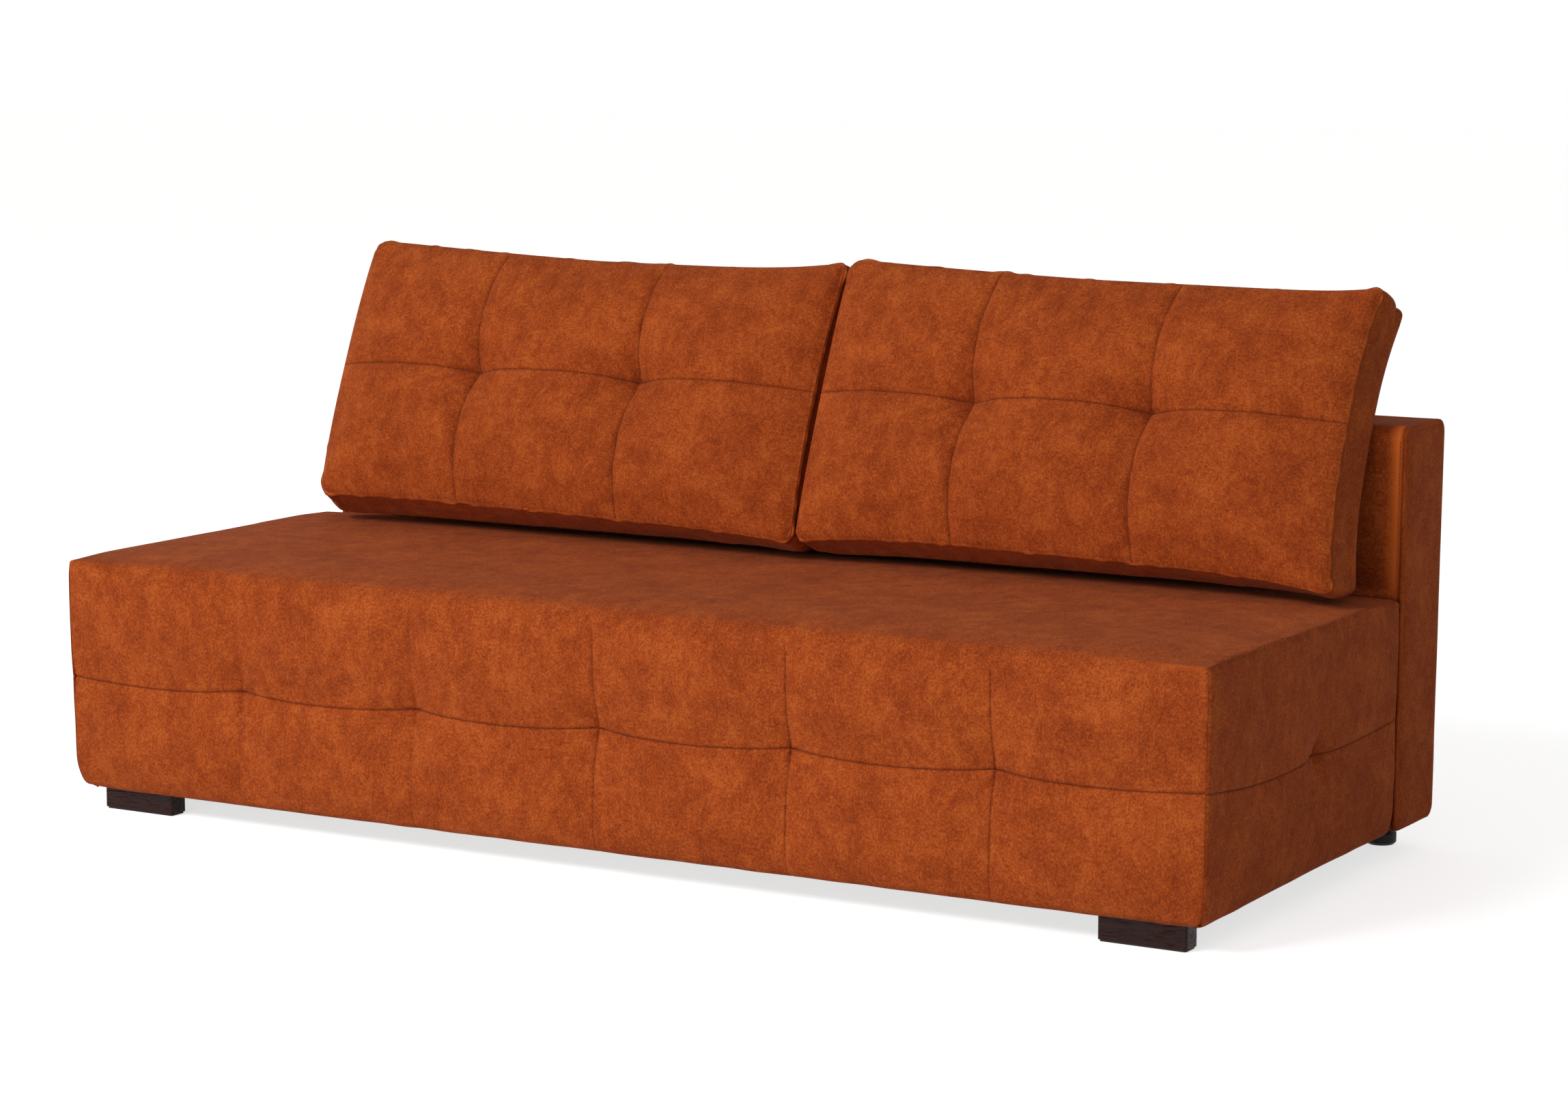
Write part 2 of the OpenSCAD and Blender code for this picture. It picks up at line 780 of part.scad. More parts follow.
// Faces of a band between two rings of equal count, given as lists of point numbers
function band_faces(ring_a, ring_b) = let (n = len(ring_a)) [
    for (k = [0 : n - 1], half = [0, 1])
        let (m = (k + 1) % n)
        half == 0 ? [ring_a[k], ring_a[m], ring_b[m]] : [ring_a[k], ring_b[m], ring_b[k]]
];

// A quilted pad, its crown at y = 0 and its flat rear at y = t
module quilted_pad(w, h, t, columns, rows) {
    xs = even_seams(columns);
    zs = row_seams(rows, seam_height_share);
    gx = grid_lines(xs, panel_shares);
    gz = grid_lines(zs, panel_shares);
    nx = len(gx);
    nz = len(gz);
    front = [for (sz = gz, sx = gx) [sx * w, quilt_depth(sx, sz, xs, zs, w, h), sz * h]];
    edge = rim(nx, nz);
    rear = [for (e = edge) [gx[e[0]] * w, t, gz[e[1]] * h]];
    ring = [for (e = edge) e[1] * nx + e[0]];
    n = len(edge);
    rear_ring = [for (k = [0 : n - 1]) nx * nz + k];
    fan = [for (k = [0 : n - 1]) [rear_ring[k], rear_ring[(k + 1) % n], nx * nz + n]];
    polyhedron(
        points = concat(front, rear, [[w / 2, t, h / 2]]),
        faces = concat(front_faces(nx, nz), band_faces(ring, rear_ring), fan)
    );
}

module front_pad() {
    color("chocolate") placed() translate([-end_x, 0, ground_gap])
        quilted_pad(sofa_length, pad_h, front_pad_t, front_columns, quilt_rows);
}

module side_pad(side) {
    w = seat_depth - front_pad_t;
    y = side == RIGHT ? front_pad_t : seat_depth;
    color("chocolate") placed() translate([side * end_x, y, ground_gap])
        rotate([0, 0, side * RIGHT_ANGLE])
            quilted_pad(w, pad_h, side_pad_t, side_columns, quilt_rows);
}

// Back panel

// What the levers sweep inside the back panel, as a slot from its lower edge up
module lever_slots() {
    y0 = back_front - over;
    y1 = overall_depth + over;
    for (side = [LEFT, RIGHT]) side_plate(side, slot_in, slot_out) polygon([
        [y0, ground_gap - over], [y0, slot_front_top], [hinge_closed[0], slot_front_top],
        [y1, slot_rear_top], [y1, ground_gap - over]
    ]);
}

module back_cover() {
    r = cover_r;
    color("saddlebrown") placed() difference() {
        hull() for (x = [r - back_x, back_x - r], y = [back_front + r, overall_depth - r],
            z = [ground_gap + r, back_height - r])
            translate([x, y, z]) ball(r, 24);
        block([-cavity_x, cavity_front, cavity_low], [cavity_x, cavity_rear, cavity_high]);
        lever_slots();
    }
}

module back_foam() {
    color("khaki") placed() difference() {
        block([-cavity_x, cavity_front, cavity_low], [cavity_x, foam_rear, cavity_high]);
        lever_slots();
    }
}

module back_board() {
    color("peru") placed() difference() {
        block([-cavity_x, timber_rear, cavity_low], [cavity_x, cavity_rear, cavity_high]);
        lever_slots();
    }
}

module back_rail_top() {
    color("burlywood") placed() block([-cavity_x, timber_front, cavity_high - back_timber_t],
        [cavity_x, timber_rear, cavity_high]);
}

module back_rail_bottom() {
    z1 = cavity_low + back_timber_t;
    color("burlywood") placed() {
        block([-slot_in, timber_front, cavity_low], [slot_in, timber_rear, z1]);
        for (side = [LEFT, RIGHT])
            side_block(side, slot_out + back_timber_t, cavity_x - back_timber_t,
                timber_front, timber_rear, cavity_low, z1);
    }
}

module back_posts(x_in, z0) {
    color("burlywood") placed() for (side = [LEFT, RIGHT])
        side_block(side, x_in, x_in + back_timber_t, timber_front, timber_rear,
            z0, cavity_high - back_timber_t);
}

module back_studs() {
    z0 = cavity_low + back_timber_t;
    back_posts(slot_in - back_timber_t, z0);
    for (share = stud_shares) back_posts(back_x * share, z0);
}

module back_webbing() {
    z_low = slot_front_top + webbing_w / 2;
    pitch = (cavity_high - back_timber_t - webbing_w / 2 - z_low) / webbing_count;
    color("black") placed() for (i = [0 : webbing_count - 1])
        block([-cavity_x, foam_rear, z_low + i * pitch],
            [cavity_x, timber_front, z_low + i * pitch + webbing_w]);
}

module hinge_plates() {
    top = hinge_closed[1] + hinge_plate_up;
    color("dimgray") placed() for (side = [LEFT, RIGHT]) difference() {
        side_plate(side, plate_x, slot_out) union() {
            translate(hinge_closed) circle(r = plate_r);
            translate([hinge_closed[0], hinge_closed[1]])
                square([hinge_plate_w - plate_r, hinge_plate_up]);
            polygon([
                [hinge_closed[0], hinge_closed[1] - plate_r],
                [hinge_closed[0] + hinge_plate_w - plate_r, hinge_closed[1]],
                [hinge_closed[0], hinge_closed[1]]
            ]);
        }
        side_bar(side, plate_x - over, slot_out + over, hinge_closed, bolt_r + seat_clearance);
    }
}

module back_pivot_bolts() {
    color("silver") placed() for (side = [LEFT, RIGHT]) union() {
        side_hex(side, head_x, lever_x - seat_clearance, hinge_closed, bolt_head_r);
        side_bar(side, lever_x - over, slot_out, hinge_closed, bolt_r);
    }
}

// Loose cushions

// How far the front of a cushion stands out of its seams' plane
function cushion_swell(sx, sz, xs, zs) =
    let (
        whole = (1 - pow(abs(2 * sx - 1), whole_power)) * (1 - pow(abs(2 * sz - 1), whole_power)),
        panels = panel_crown(sx, xs, crown_power) * panel_crown(sz, zs, crown_power),
        near = tuft_distance(sx * cushion_w, sz * cushion_h, xs, zs, cushion_w, cushion_h)
    )
    cushion_crown * whole
    + cushion_channel * panels * pow(whole, 1 / whole_power)
    - cushion_tuft * exp(-pow(near / cushion_tuft_r, 2));

function rear_swell(sx, sz) =
    cushion_rear_crown * (1 - pow(abs(2 * sx - 1), rear_power))
    * (1 - pow(abs(2 * sz - 1), rear_power));

// Outline of a cushion: its sides draw in between its corners, which stand up as ears
function cushion_x(sx, sz) =
    (sx - 1 / 2) * (cushion_w - 2 * cushion_pull * (1 - pow(2 * sz - 1, 2)));
function cushion_z(sx, sz) =
    let (
        pull = cushion_pull / 2 * (1 - pow(2 * sx - 1, 2)),
        corner = ear * pow(2 * sx - 1, ear_power)
    )
    pull + sz * (cushion_h - 2 * pull) + corner * (2 * sz - 1) * pow(2 * sz - 1, 2);

// Stands a point of the cushion at its tilt, and flattens it where it meets the seat
function leaning(p, foot) =
    let (
        y = foot[0] + p[1] * cos(cushion_tilt) + p[2] * sin(cushion_tilt),
        z = foot[1] - p[1] * sin(cushion_tilt) + p[2] * cos(cushion_tilt)
    )
    [p[0], y, max(z, seat_height + rest_gap)];

// Lower rear edge of a cushion that leans on the rounded upper edge of the back panel
cushion_foot_z = seat_height + rest_gap;
cushion_lean = (back_front + cover_r) * cos(cushion_tilt)
    - (back_height - cover_r) * sin(cushion_tilt) - cover_r - rest_gap - cushion_rear_crown;
cushion_foot_y = (cushion_lean + cushion_foot_z * sin(cushion_tilt)) / cos(cushion_tilt);

module cushion(x) {
    xs = even_seams(cushion_columns);
    zs = even_seams(cushion_rows);
    gx = grid_lines(xs, cushion_shares);
    gz = grid_lines(zs, cushion_shares);
    nx = len(gx);
    nz = len(gz);
    foot = [cushion_foot_y, cushion_foot_z];
    edge = rim(nx, nz);
    front = [for (sz = gz, sx = gx) leaning([
        x + cushion_x(sx, sz), -cushion_band - cushion_swell(sx, sz, xs, zs), cushion_z(sx, sz)
    ], foot)];
    rear = [for (sz = gz, sx = gx) leaning([
        x + cushion_x(sx, sz), rear_swell(sx, sz), cushion_z(sx, sz)
    ], foot)];
    middle = [for (e = edge) let (sx = gx[e[0]], sz = gz[e[1]]) leaning([
        x + cushion_x(sx, sz) * (1 + 2 * band_swell / cushion_w), -cushion_band / 2,
        cushion_z(sx, sz) + band_swell * (2 * sz - 1)
    ], foot)];
    n = nx * nz;
    front_ring = [for (e = edge) e[1] * nx + e[0]];
    rear_ring = [for (k = front_ring) n + k];
    middle_ring = [for (k = [0 : len(edge) - 1]) 2 * n + k];
    polyhedron(
        points = concat(front, rear, middle),
        faces = concat(front_faces(nx, nz), rear_faces(nx, nz, n),
            band_faces(front_ring, middle_ring), band_faces(middle_ring, rear_ring))
    );
}

module cushion_left() {
    color("chocolate") placed() cushion(cushion_shift - (cushion_gap + cushion_w) / 2);
}

module cushion_right() {
    color("chocolate") placed() cushion(cushion_shift + (cushion_gap + cushion_w) / 2);
}

// Travel of the seat unit, and turns of the levers and of the back panel on them
echo(seat_travel = seat_travel, lever_turn = lever_turn, back_turn = lever_turn + RIGHT_ANGLE);

runner(LEFT);  // runner_left
runner(RIGHT);  // runner_right
cross_tube(front_tube_y);  // cross_tube_front
cross_tube(middle_tube_y);  // cross_tube_middle
cross_tube(rear_tube_y);  // cross_tube_rear
tube_caps();
base_feet();
box_floor();
box_end(LEFT);  // box_end_left
box_end(RIGHT);  // box_end_right
box_wall(box_front);  // box_front_wall
box_wall(box_rear - board_t);  // box_rear_wall
box_screws();
rest_buffers();
pivot_plate(LEFT);  // pivot_plate_left
pivot_plate(RIGHT);  // pivot_plate_right
base_pivot_bolts();
lever(LEFT);  // lever_left
lever(RIGHT);  // lever_right
lever_washers();
seat_rail(frame_y);  // seat_rail_front
seat_rail(frame_rear - rail_w);  // seat_rail_rear
seat_side_rail(LEFT);  // seat_rail_left
seat_side_rail(RIGHT);  // seat_rail_right
seat_cross_rails();
seat_slats();
seat_foam();
seat_top_pad();
front_board();
side_board(LEFT);  // side_board_left
side_board(RIGHT);  // side_board_right
seat_rear_panel();
front_pad();
side_pad(LEFT);  // side_pad_left
side_pad(RIGHT);  // side_pad_right
corner_blocks();
front_foot(LEFT);  // front_foot_left
front_foot(RIGHT);  // front_foot_right
foot_glides();
foot_screws();
roller_bracket(LEFT);  // roller_bracket_left
roller_bracket(RIGHT);  // roller_bracket_right
roller_axles();
roller(LEFT);  // roller_left
roller(RIGHT);  // roller_right
back_rail_top();
back_rail_bottom();
back_posts(cavity_x - back_timber_t, cavity_low);  // back_end_posts
back_posts(slot_out, cavity_low);  // back_hinge_posts
back_studs();
back_webbing();
back_foam();
back_cover();
back_board();
hinge_plates();
back_pivot_bolts();
cushion_left();
cushion_right();
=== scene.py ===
import json
import math
import random

import bmesh
import bpy
import numpy as np
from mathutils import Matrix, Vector

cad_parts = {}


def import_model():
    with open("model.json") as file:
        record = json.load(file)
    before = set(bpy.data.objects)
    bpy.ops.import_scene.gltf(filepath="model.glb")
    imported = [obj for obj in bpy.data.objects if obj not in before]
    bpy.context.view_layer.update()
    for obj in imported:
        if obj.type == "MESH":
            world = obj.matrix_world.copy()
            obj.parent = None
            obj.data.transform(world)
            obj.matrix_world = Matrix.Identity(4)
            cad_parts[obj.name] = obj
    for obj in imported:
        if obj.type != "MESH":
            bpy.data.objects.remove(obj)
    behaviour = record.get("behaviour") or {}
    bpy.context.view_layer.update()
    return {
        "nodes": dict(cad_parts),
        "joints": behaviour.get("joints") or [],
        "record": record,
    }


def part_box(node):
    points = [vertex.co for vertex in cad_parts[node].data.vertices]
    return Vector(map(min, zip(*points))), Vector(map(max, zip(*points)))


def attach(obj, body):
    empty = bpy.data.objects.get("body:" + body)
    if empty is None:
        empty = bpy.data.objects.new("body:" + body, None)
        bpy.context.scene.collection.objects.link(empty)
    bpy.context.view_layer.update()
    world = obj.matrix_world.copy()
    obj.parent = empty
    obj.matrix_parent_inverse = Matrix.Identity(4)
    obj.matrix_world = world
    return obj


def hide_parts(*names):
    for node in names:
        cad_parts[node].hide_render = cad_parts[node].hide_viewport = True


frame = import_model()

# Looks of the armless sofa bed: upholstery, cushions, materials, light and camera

MM = 0.001

# Places that the frame gives, in metres
seat_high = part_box("seat_top_pad")[1]
front_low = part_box("front_pad")[0]
back_low, back_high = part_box("back_cover")
board_low, board_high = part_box("front_board")
END_X = seat_high.x
FRONT_Y = front_low.y
SEAT_REAR_Y = seat_high.y
SEAT_TOP = seat_high.z
LOWER_EDGE = front_low.z
FRONT_PAD_BACK = board_low.y
SIDE_PAD_BACK = board_high.x
PAD_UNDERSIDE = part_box("seat_foam")[1].z
CUSHION_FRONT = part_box("cushion_right")[0].y

# Camera, at the photograph's viewing angle
PHOTO_W = 2296
CAMERA_AT = (3.1603, -5.2474, 1.320)
CAMERA_AZIMUTH = 30.4045
CAMERA_ELEVATION = 8.1282
CAMERA_FOCAL_PX = 5763.25
SENSOR_MM = 36


# Small helpers

def smooth(t):
    t = np.clip(t, 0, 1)
    return t * t * (3 - 2 * t)


def bell(gap, reach):
    """1 where gap is 0, falling off roundly to either side of it."""
    return np.exp(-(gap / reach) ** 2)


def fade(gap, reach):
    """1 where gap is 0, falling off sharply from there."""
    return np.exp(-gap / reach)


def unit(v, least=1e-9):
    """The same directions with a length of 1."""
    return v / np.maximum(np.linalg.norm(v, axis=-1, keepdims=True), least)


def spaced(stops, fine, coarse, reach):
    """Places from the first stop to the last, close together near every stop and wider between them."""
    places = [stops[0]]
    for a, b in zip(stops[:-1], stops[1:]):
        at = a
        while True:
            near = min(at - a, b - at)
            step = fine + (coarse - fine) * min(1.0, max(near, 0) / reach)
            if at + step >= b - fine * 0.6:
                break
            at += step
            places.append(at)
        places.append(b)
    return np.array(places)


class Noise:
    """Smooth seeded value noise over up to three dimensions."""

    def __init__(self, seed, size=64):
        rng = np.random.default_rng(seed)
        self.grid = rng.uniform(-1, 1, (size, size, size)).astype(np.float32)
        self.size = size

    def __call__(self, x, y, z=0.0, scale=1.0):
        p = [np.asarray(v, float) / scale + 100.0 for v in np.broadcast_arrays(x, y, z)]
        base = [np.floor(v).astype(int) for v in p]
        frac = [v - b for v, b in zip(p, base)]
        frac = [f * f * (3 - 2 * f) for f in frac]
        total = 0.0
        for i in (0, 1):
            for j in (0, 1):
                for k in (0, 1):
                    w = ((frac[0] if i else 1 - frac[0]) * (frac[1] if j else 1 - frac[1])
                         * (frac[2] if k else 1 - frac[2]))
                    total = total + w * self.grid[(base[0] + i) % self.size,
                                                  (base[1] + j) % self.size,
                                                  (base[2] + k) % self.size]
        return total


def new_mesh(name, points, faces, uvs=None, smooth_shade=True):
    """A mesh object from points, faces and, for each face corner, a UV in metres."""
    mesh = bpy.data.meshes.new(name)
    mesh.from_pydata([tuple(p) for p in points], [], [tuple(f) for f in faces])
    mesh.update()
    if uvs is not None:
        flat = np.array([c for corners in uvs for c in corners], np.float32)
        mesh.uv_layers.new(name="cloth").data.foreach_set("uv", flat.ravel())
    if smooth_shade:
        mesh.polygons.foreach_set("use_smooth", [True] * len(mesh.polygons))
    obj = bpy.data.objects.new(name, mesh)
    bpy.context.scene.collection.objects.link(obj)
    return obj


class Patch:
    """Grids of points joined into one mesh, with a UV for each grid point."""

    def __init__(self):
        self.points, self.faces, self.uvs = [], [], []

    def add_points(self, grid):
        start = len(self.points)
        self.points.extend(map(tuple, np.asarray(grid).reshape(-1, 3)))
        return start

    def face(self, corners, uv):
        self.faces.append(corners)
        self.uvs.append(uv)

    def grid(self, points, uv, flip=False):
        """A sheet of points[i][j]; returns the numbers of its points."""
        ni, nj = points.shape[:2]
        start = self.add_points(points)
        number = start + np.arange(ni * nj).reshape(ni, nj)
        for i in range(ni - 1):
            for j in range(nj - 1):
                quad = [(i, j), (i + 1, j), (i + 1, j + 1), (i, j + 1)]
                if flip:
                    quad.reverse()
                self.face([int(number[q]) for q in quad], [tuple(uv[q]) for q in quad])
        return number

    def band(self, ring_a, ring_b, uv_a, uv_b):
        """Quads between two closed rows of point numbers."""
        n = len(ring_a)
        for k in range(n):
            m = (k + 1) % n
            self.face([ring_a[k], ring_a[m], ring_b[m], ring_b[k]],
                      [uv_a[k], uv_a[m], uv_b[m], uv_b[k]])

    def object(self, name):
        return new_mesh(name, self.points, self.faces, self.uvs)


def mark(obj, kind, amount):
    """Stores, for each point, how much painted seam shade or painted highlight lies there."""
    layer = obj.data.attributes.new(kind, "FLOAT", "POINT")
    layer.data.foreach_set("value", np.clip(amount, 0, 1).astype(np.float32).ravel())


# How much painted seam shade lies at a gap from a sewn line
def seam_shadow_line(gap):
    return bell(gap, SEAM_SHADOW_WIDTH)


def upholster(piece, body, nodes):
    """Gives a soft piece its cloth, sets it on the body that carries it, and hides the nodes it stands
    for.
    """
    piece.data.materials.clear()
    piece.data.materials.append(CLOTH)
    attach(piece, body)
    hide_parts(*nodes)


def read(items, what, width):
    """What a mesh stores for each of its points, loops or the like, as rows."""
    flat = np.zeros(len(items) * width)
    items.foreach_get(what, flat)
    return flat.reshape(-1, width)


def apply_modifiers(obj):
    """Keeps in the mesh what an object's modifiers do to it."""
    bpy.context.view_layer.update()
    graph = bpy.context.evaluated_depsgraph_get()
    mesh = bpy.data.meshes.new_from_object(obj.evaluated_get(graph))
    obj.modifiers.clear()
    obj.data = mesh


def rim(number):
    """Point numbers round the edge of a grid, and their places in it."""
    ni, nj = number.shape
    places = ([(i, 0) for i in range(ni - 1)] + [(ni - 1, j) for j in range(nj - 1)]
              + [(i, nj - 1) for i in range(ni - 1, 0, -1)] + [(0, j) for j in range(nj - 1, 0, -1)])
    return [int(number[p]) for p in places], places


# Materials

DARK_NAP = (0.215, 0.0335, 0.0062)
RUST = (0.345, 0.0590, 0.0105)
LIGHT_NAP = (0.480, 0.1050, 0.0190)
# Painted shade: the cloth is darkened along its seams, where the sewn grooves lie in shade
SEAM_SHADOW_COLOUR = (0.070, 0.0105, 0.0030)
SEAM_SHADOW_STRENGTH = 0.72
# Painted highlight: the cloth is lightened along the cushions' welts and just inside the back's seams,
# where the nap's sheen catches light
EDGE_HIGHLIGHT_COLOUR = (0.800, 0.165, 0.0260)
EDGE_HIGHLIGHT_STRENGTH = 0.9
# Width of the painted seam shade, and how much of it the upright seams take
SEAM_SHADOW_WIDTH = 1.0 * MM
UPRIGHT_SEAM_SHADOW = 0.6
# The nap's clouds: stretch, move, scale, detail, roughness, warp, where its spread begins, weight
NAP_CLOUDS = (
    ((1, 1, 1), (0, 0, 0), 10.0, 2.0, 0.5, 0.15, 0.28, 0.20),
    ((1.2, 0.9, 1), (7, 2, 1), 32.0, 3.0, 0.6, 0.35, 0.27, 0.27),
    ((1.2, 0.85, 1), (2, 5, 3), 115.0, 3.0, 0.65, 0.0, 0.25, 0.30),
    ((1.1, 0.9, 1), (5, 3, 2), 300.0, 2.0, 0.6, 0.0, 0.27, 0.46),
    ((1.2, 0.8, 1), (4, 1, 6), 750.0, 2.0, 0.6, 0.0, 0.25, 0.14),
)


class Nodes:
    """Short forms for building the nodes of a material or a world."""

    def __init__(self, name, made_in=bpy.data.materials):
        self.made = made_in.new(name)
        self.made.use_nodes = True
        self.tree = self.made.node_tree
        self.shader = self.tree.nodes.get("Principled BSDF")

    def add(self, kind, inputs=None, **settings):
        """A new node. Each input is a plain value, or what another node gives."""
        node = self.tree.nodes.new(kind)
        for key, value in settings.items():
            setattr(node, key, value)
        for key, value in (inputs or {}).items():
            self.value(node.inputs[key], value)
        return node

    def link(self, a, b):
        self.tree.links.new(a, b)

    def value(self, socket, value):
        if isinstance(value, bpy.types.NodeSocket):
            self.link(value, socket)
        else:
            socket.default_value = value

    def coordinates(self, kind):
        return self.add("ShaderNodeTexCoord").outputs[kind]

    def mapping(self, vector, scale, move=(0, 0, 0)):
        inputs = {"Vector": vector, "Scale": scale, "Location": move}
        return self.add("ShaderNodeMapping", inputs).outputs[0]

    def noise(self, vector, scale, detail=2.0, rough=0.5, warp=0.0):
        return self.add("ShaderNodeTexNoise", {"Vector": vector, "Scale": scale, "Detail": detail,
                                               "Roughness": rough, "Distortion": warp}).outputs["Fac"]

    def math(self, op, a, b=0.0, clamp=False):
        return self.add("ShaderNodeMath", {0: a, 1: b}, operation=op, use_clamp=clamp).outputs[0]

    def spread(self, factor, low, high):
        """factor moved from low..high to 0..1."""
        inputs = {"Value": factor, "From Min": low, "From Max": high}
        return self.add("ShaderNodeMapRange", inputs).outputs[0]

    def ramp(self, factor, stops):
        node = self.add("ShaderNodeValToRGB", {0: factor})
        ramp = node.color_ramp
        while len(ramp.elements) < len(stops):
            ramp.elements.new(0.5)
        for element, (place, colour) in zip(ramp.elements, stops):
            element.position = place
            element.color = (*colour, 1)
        return node.outputs[0]

    def mix(self, factor, a, b):
        a, b = [c if isinstance(c, bpy.types.NodeSocket) else (*c, 1) for c in (a, b)]
        return self.add("ShaderNodeMix", {0: factor, 6: a, 7: b}, data_type="RGBA").outputs[2]

    def bump(self, height, distance, strength=1.0, after=None):
        node = self.add("ShaderNodeBump", {"Strength": strength, "Distance": distance, "Height": height})
        if after is not None:
            self.link(after, node.inputs["Normal"])
        return node.outputs[0]

    def finish(self, colour, rough, normal=None, **plain):
        self.value(self.shader.inputs["Base Color"], colour)
        self.value(self.shader.inputs["Roughness"], rough)
        if normal is not None:
            self.link(normal, self.shader.inputs["Normal"])
        for key, value in plain.items():
            self.shader.inputs[key.replace("_", " ")].default_value = value
        return self.made


def velour(name):
    """Short-nap velour: clouds of lighter and darker nap, a fine grain, painted shade along its seams and
    a painted highlight along welts and beside seams.
    """
    m = Nodes(name)
    cloth = m.coordinates("UV")
    clouds = []
    tone = 0.5 - sum(cloud[-1] for cloud in NAP_CLOUDS) / 2
    for stretch, move, *kind, edge, weight in NAP_CLOUDS:
        cloud = m.noise(m.mapping(cloth, stretch, move), *kind)
        tone = m.math("ADD", m.math("MULTIPLY", m.spread(cloud, edge, 1 - edge), weight), tone)
        clouds.append(cloud)
    colour = m.ramp(tone, [(0.24, DARK_NAP), (0.50, RUST), (0.76, LIGHT_NAP)])
    # Mixes in the painted seam shade, then the painted highlight, as the meshes store them
    for kind, shade, tint in (("seam", SEAM_SHADOW_STRENGTH, SEAM_SHADOW_COLOUR), ("painted_highlight", EDGE_HIGHLIGHT_STRENGTH, EDGE_HIGHLIGHT_COLOUR)):
        amount = m.add("ShaderNodeAttribute", attribute_name=kind).outputs["Fac"]
        colour = m.mix(m.math("MULTIPLY", amount, shade), colour, tint)
    thread = {"Vector": cloth, "Scale": 200.0, "Distortion": 2.5, "Detail": 1.0, "Detail Scale": 2.0}
    weave = m.math("MULTIPLY", *[m.add("ShaderNodeTexWave", thread, bands_direction=way).outputs["Fac"]
                                 for way in "XY"])
    flecks, grain, pile = clouds[2:]
    normal = m.bump(weave, 0.25 * MM, 0.3)
    normal = m.bump(pile, 0.4 * MM, 0.5, normal)
    normal = m.bump(grain, 0.6 * MM, 0.35, normal)
    normal = m.bump(flecks, 0.8 * MM, 0.25, normal)
    rough = m.math("ADD", m.math("MULTIPLY", flecks, 0.12), 0.82)
    return m.finish(colour, rough, normal, Sheen_Weight=0.07, Sheen_Roughness=0.5,
                    Sheen_Tint=(1.0, 0.66, 0.42, 1), Specular_IOR_Level=0.07)


def wood(name, dark, light, rough, along="X"):
    """Wood with its grain along one axis."""
    m = Nodes(name)
    place = m.coordinates("Object")
    stretch = {"X": (1.5, 22, 22), "Y": (22, 1.5, 22), "Z": (22, 22, 1.5)}[along]
    grain = m.noise(m.mapping(place, stretch), 3.0, 6.0, 0.65, 1.2)
    pores = m.noise(m.mapping(place, tuple(s * 6 for s in stretch)), 4.0, 3.0, 0.7)
    colour = m.ramp(m.math("ADD", m.math("MULTIPLY", grain, 0.7), m.math("MULTIPLY", pores, 0.3)),
                    [(0.35, dark), (0.68, light)])
    return m.finish(colour, m.spread(pores, rough[0], rough[1]), m.bump(pores, 0.2 * MM, 0.5),
                    Specular_IOR_Level=0.16)


def chipboard():
    m = Nodes("raw_chipboard")
    place = m.coordinates("Object")
    chips = m.add("ShaderNodeTexVoronoi", {"Vector": place, "Scale": 260.0})
    dust = m.noise(place, 60.0, 3.0)
    shade = m.math("ADD", m.math("MULTIPLY", chips.outputs["Color"], 0.6), m.math("MULTIPLY", dust, 0.4))
    colour = m.ramp(shade, [(0.15, (0.20, 0.12, 0.06)), (0.5, (0.36, 0.24, 0.13)),
                            (0.9, (0.55, 0.41, 0.25))])
    return m.finish(colour, 0.85, m.bump(shade, 0.3 * MM, 0.5))


def metal(name, colour, rough, coat):
    """Steel with fine brushed marks, or a coat with a fine orange-peel skin."""
    m = Nodes(name)
    place = m.coordinates("Object")
    marks = m.noise(m.mapping(place, (40, 900, 900)), 1.0, 3.0, 0.7)
    smudge = m.noise(place, 14.0, 4.0, 0.6)
    shade = m.mix(m.spread(smudge, 0.3, 0.7), tuple(c * 0.8 for c in colour), colour)
    roughness = m.math("ADD", m.math("MULTIPLY", marks, 0.18), rough)
    return m.finish(shade, roughness, m.bump(marks, 0.05 * MM, 0.4), Metallic=0.0 if coat else 1.0)


def plastic(name, colour, rough, grain=700.0):
    m = Nodes(name)
    place = m.coordinates("Object")
    fine = m.noise(place, grain, 2.0)
    worn = m.noise(place, 25.0, 4.0, 0.6)
    shade = m.mix(m.spread(worn, 0.35, 0.75), colour, tuple(min(1, c * 1.5 + 0.01) for c in colour))
    return m.finish(shade, m.spread(worn, -rough, 1 + rough), m.bump(fine, 0.1 * MM, 0.5),
                    Specular_IOR_Level=0.2)


def foam():
    m = Nodes("open_foam")
    cells = m.add("ShaderNodeTexVoronoi", {"Vector": m.coordinates("Object"), "Scale": 500.0})
    colour = m.ramp(cells.outputs["Distance"], [(0.0, (0.85, 0.72, 0.38)), (0.7, (0.62, 0.48, 0.20))])
    return m.finish(colour, 0.9, m.bump(cells.outputs["Distance"], 0.6 * MM, 0.8))


def webbing():
    m = Nodes("elastic_webbing")
    ribs = m.add("ShaderNodeTexWave", {"Vector": m.coordinates("Object"), "Scale": 160.0},
                 bands_direction="Z")
    colour = m.ramp(ribs.outputs["Fac"], [(0.2, (0.012, 0.012, 0.014)), (0.9, (0.05, 0.05, 0.055))])
    return m.finish(colour, 0.7, m.bump(ribs.outputs["Fac"], 0.4 * MM, 0.8))


def thread_material():
    m = Nodes("sewing_thread")
    twist = m.noise(m.coordinates("Object"), 900.0, 2.0)
    colour = m.ramp(twist, [(0.3, (0.33, 0.075, 0.015)), (0.7, (0.52, 0.15, 0.035))])
    return m.finish(colour, 0.6, m.bump(twist, 0.2 * MM, 0.6), Specular_IOR_Level=0.1)


# Quilting

PANEL_ACROSS, PANEL_UP, PANEL_LOW = 0.11, 0.09, 0.08
SHARP_CREASE = 1.8 * MM
UPRIGHT_SOFT, LEVEL_SOFT = 0.026, 0.030
HEM_FREE = 0.09
QUILT_FOLDS = (0.16, 0.11)
QUILT_RIPPLE = (0.0008, 0.036, 0.024)


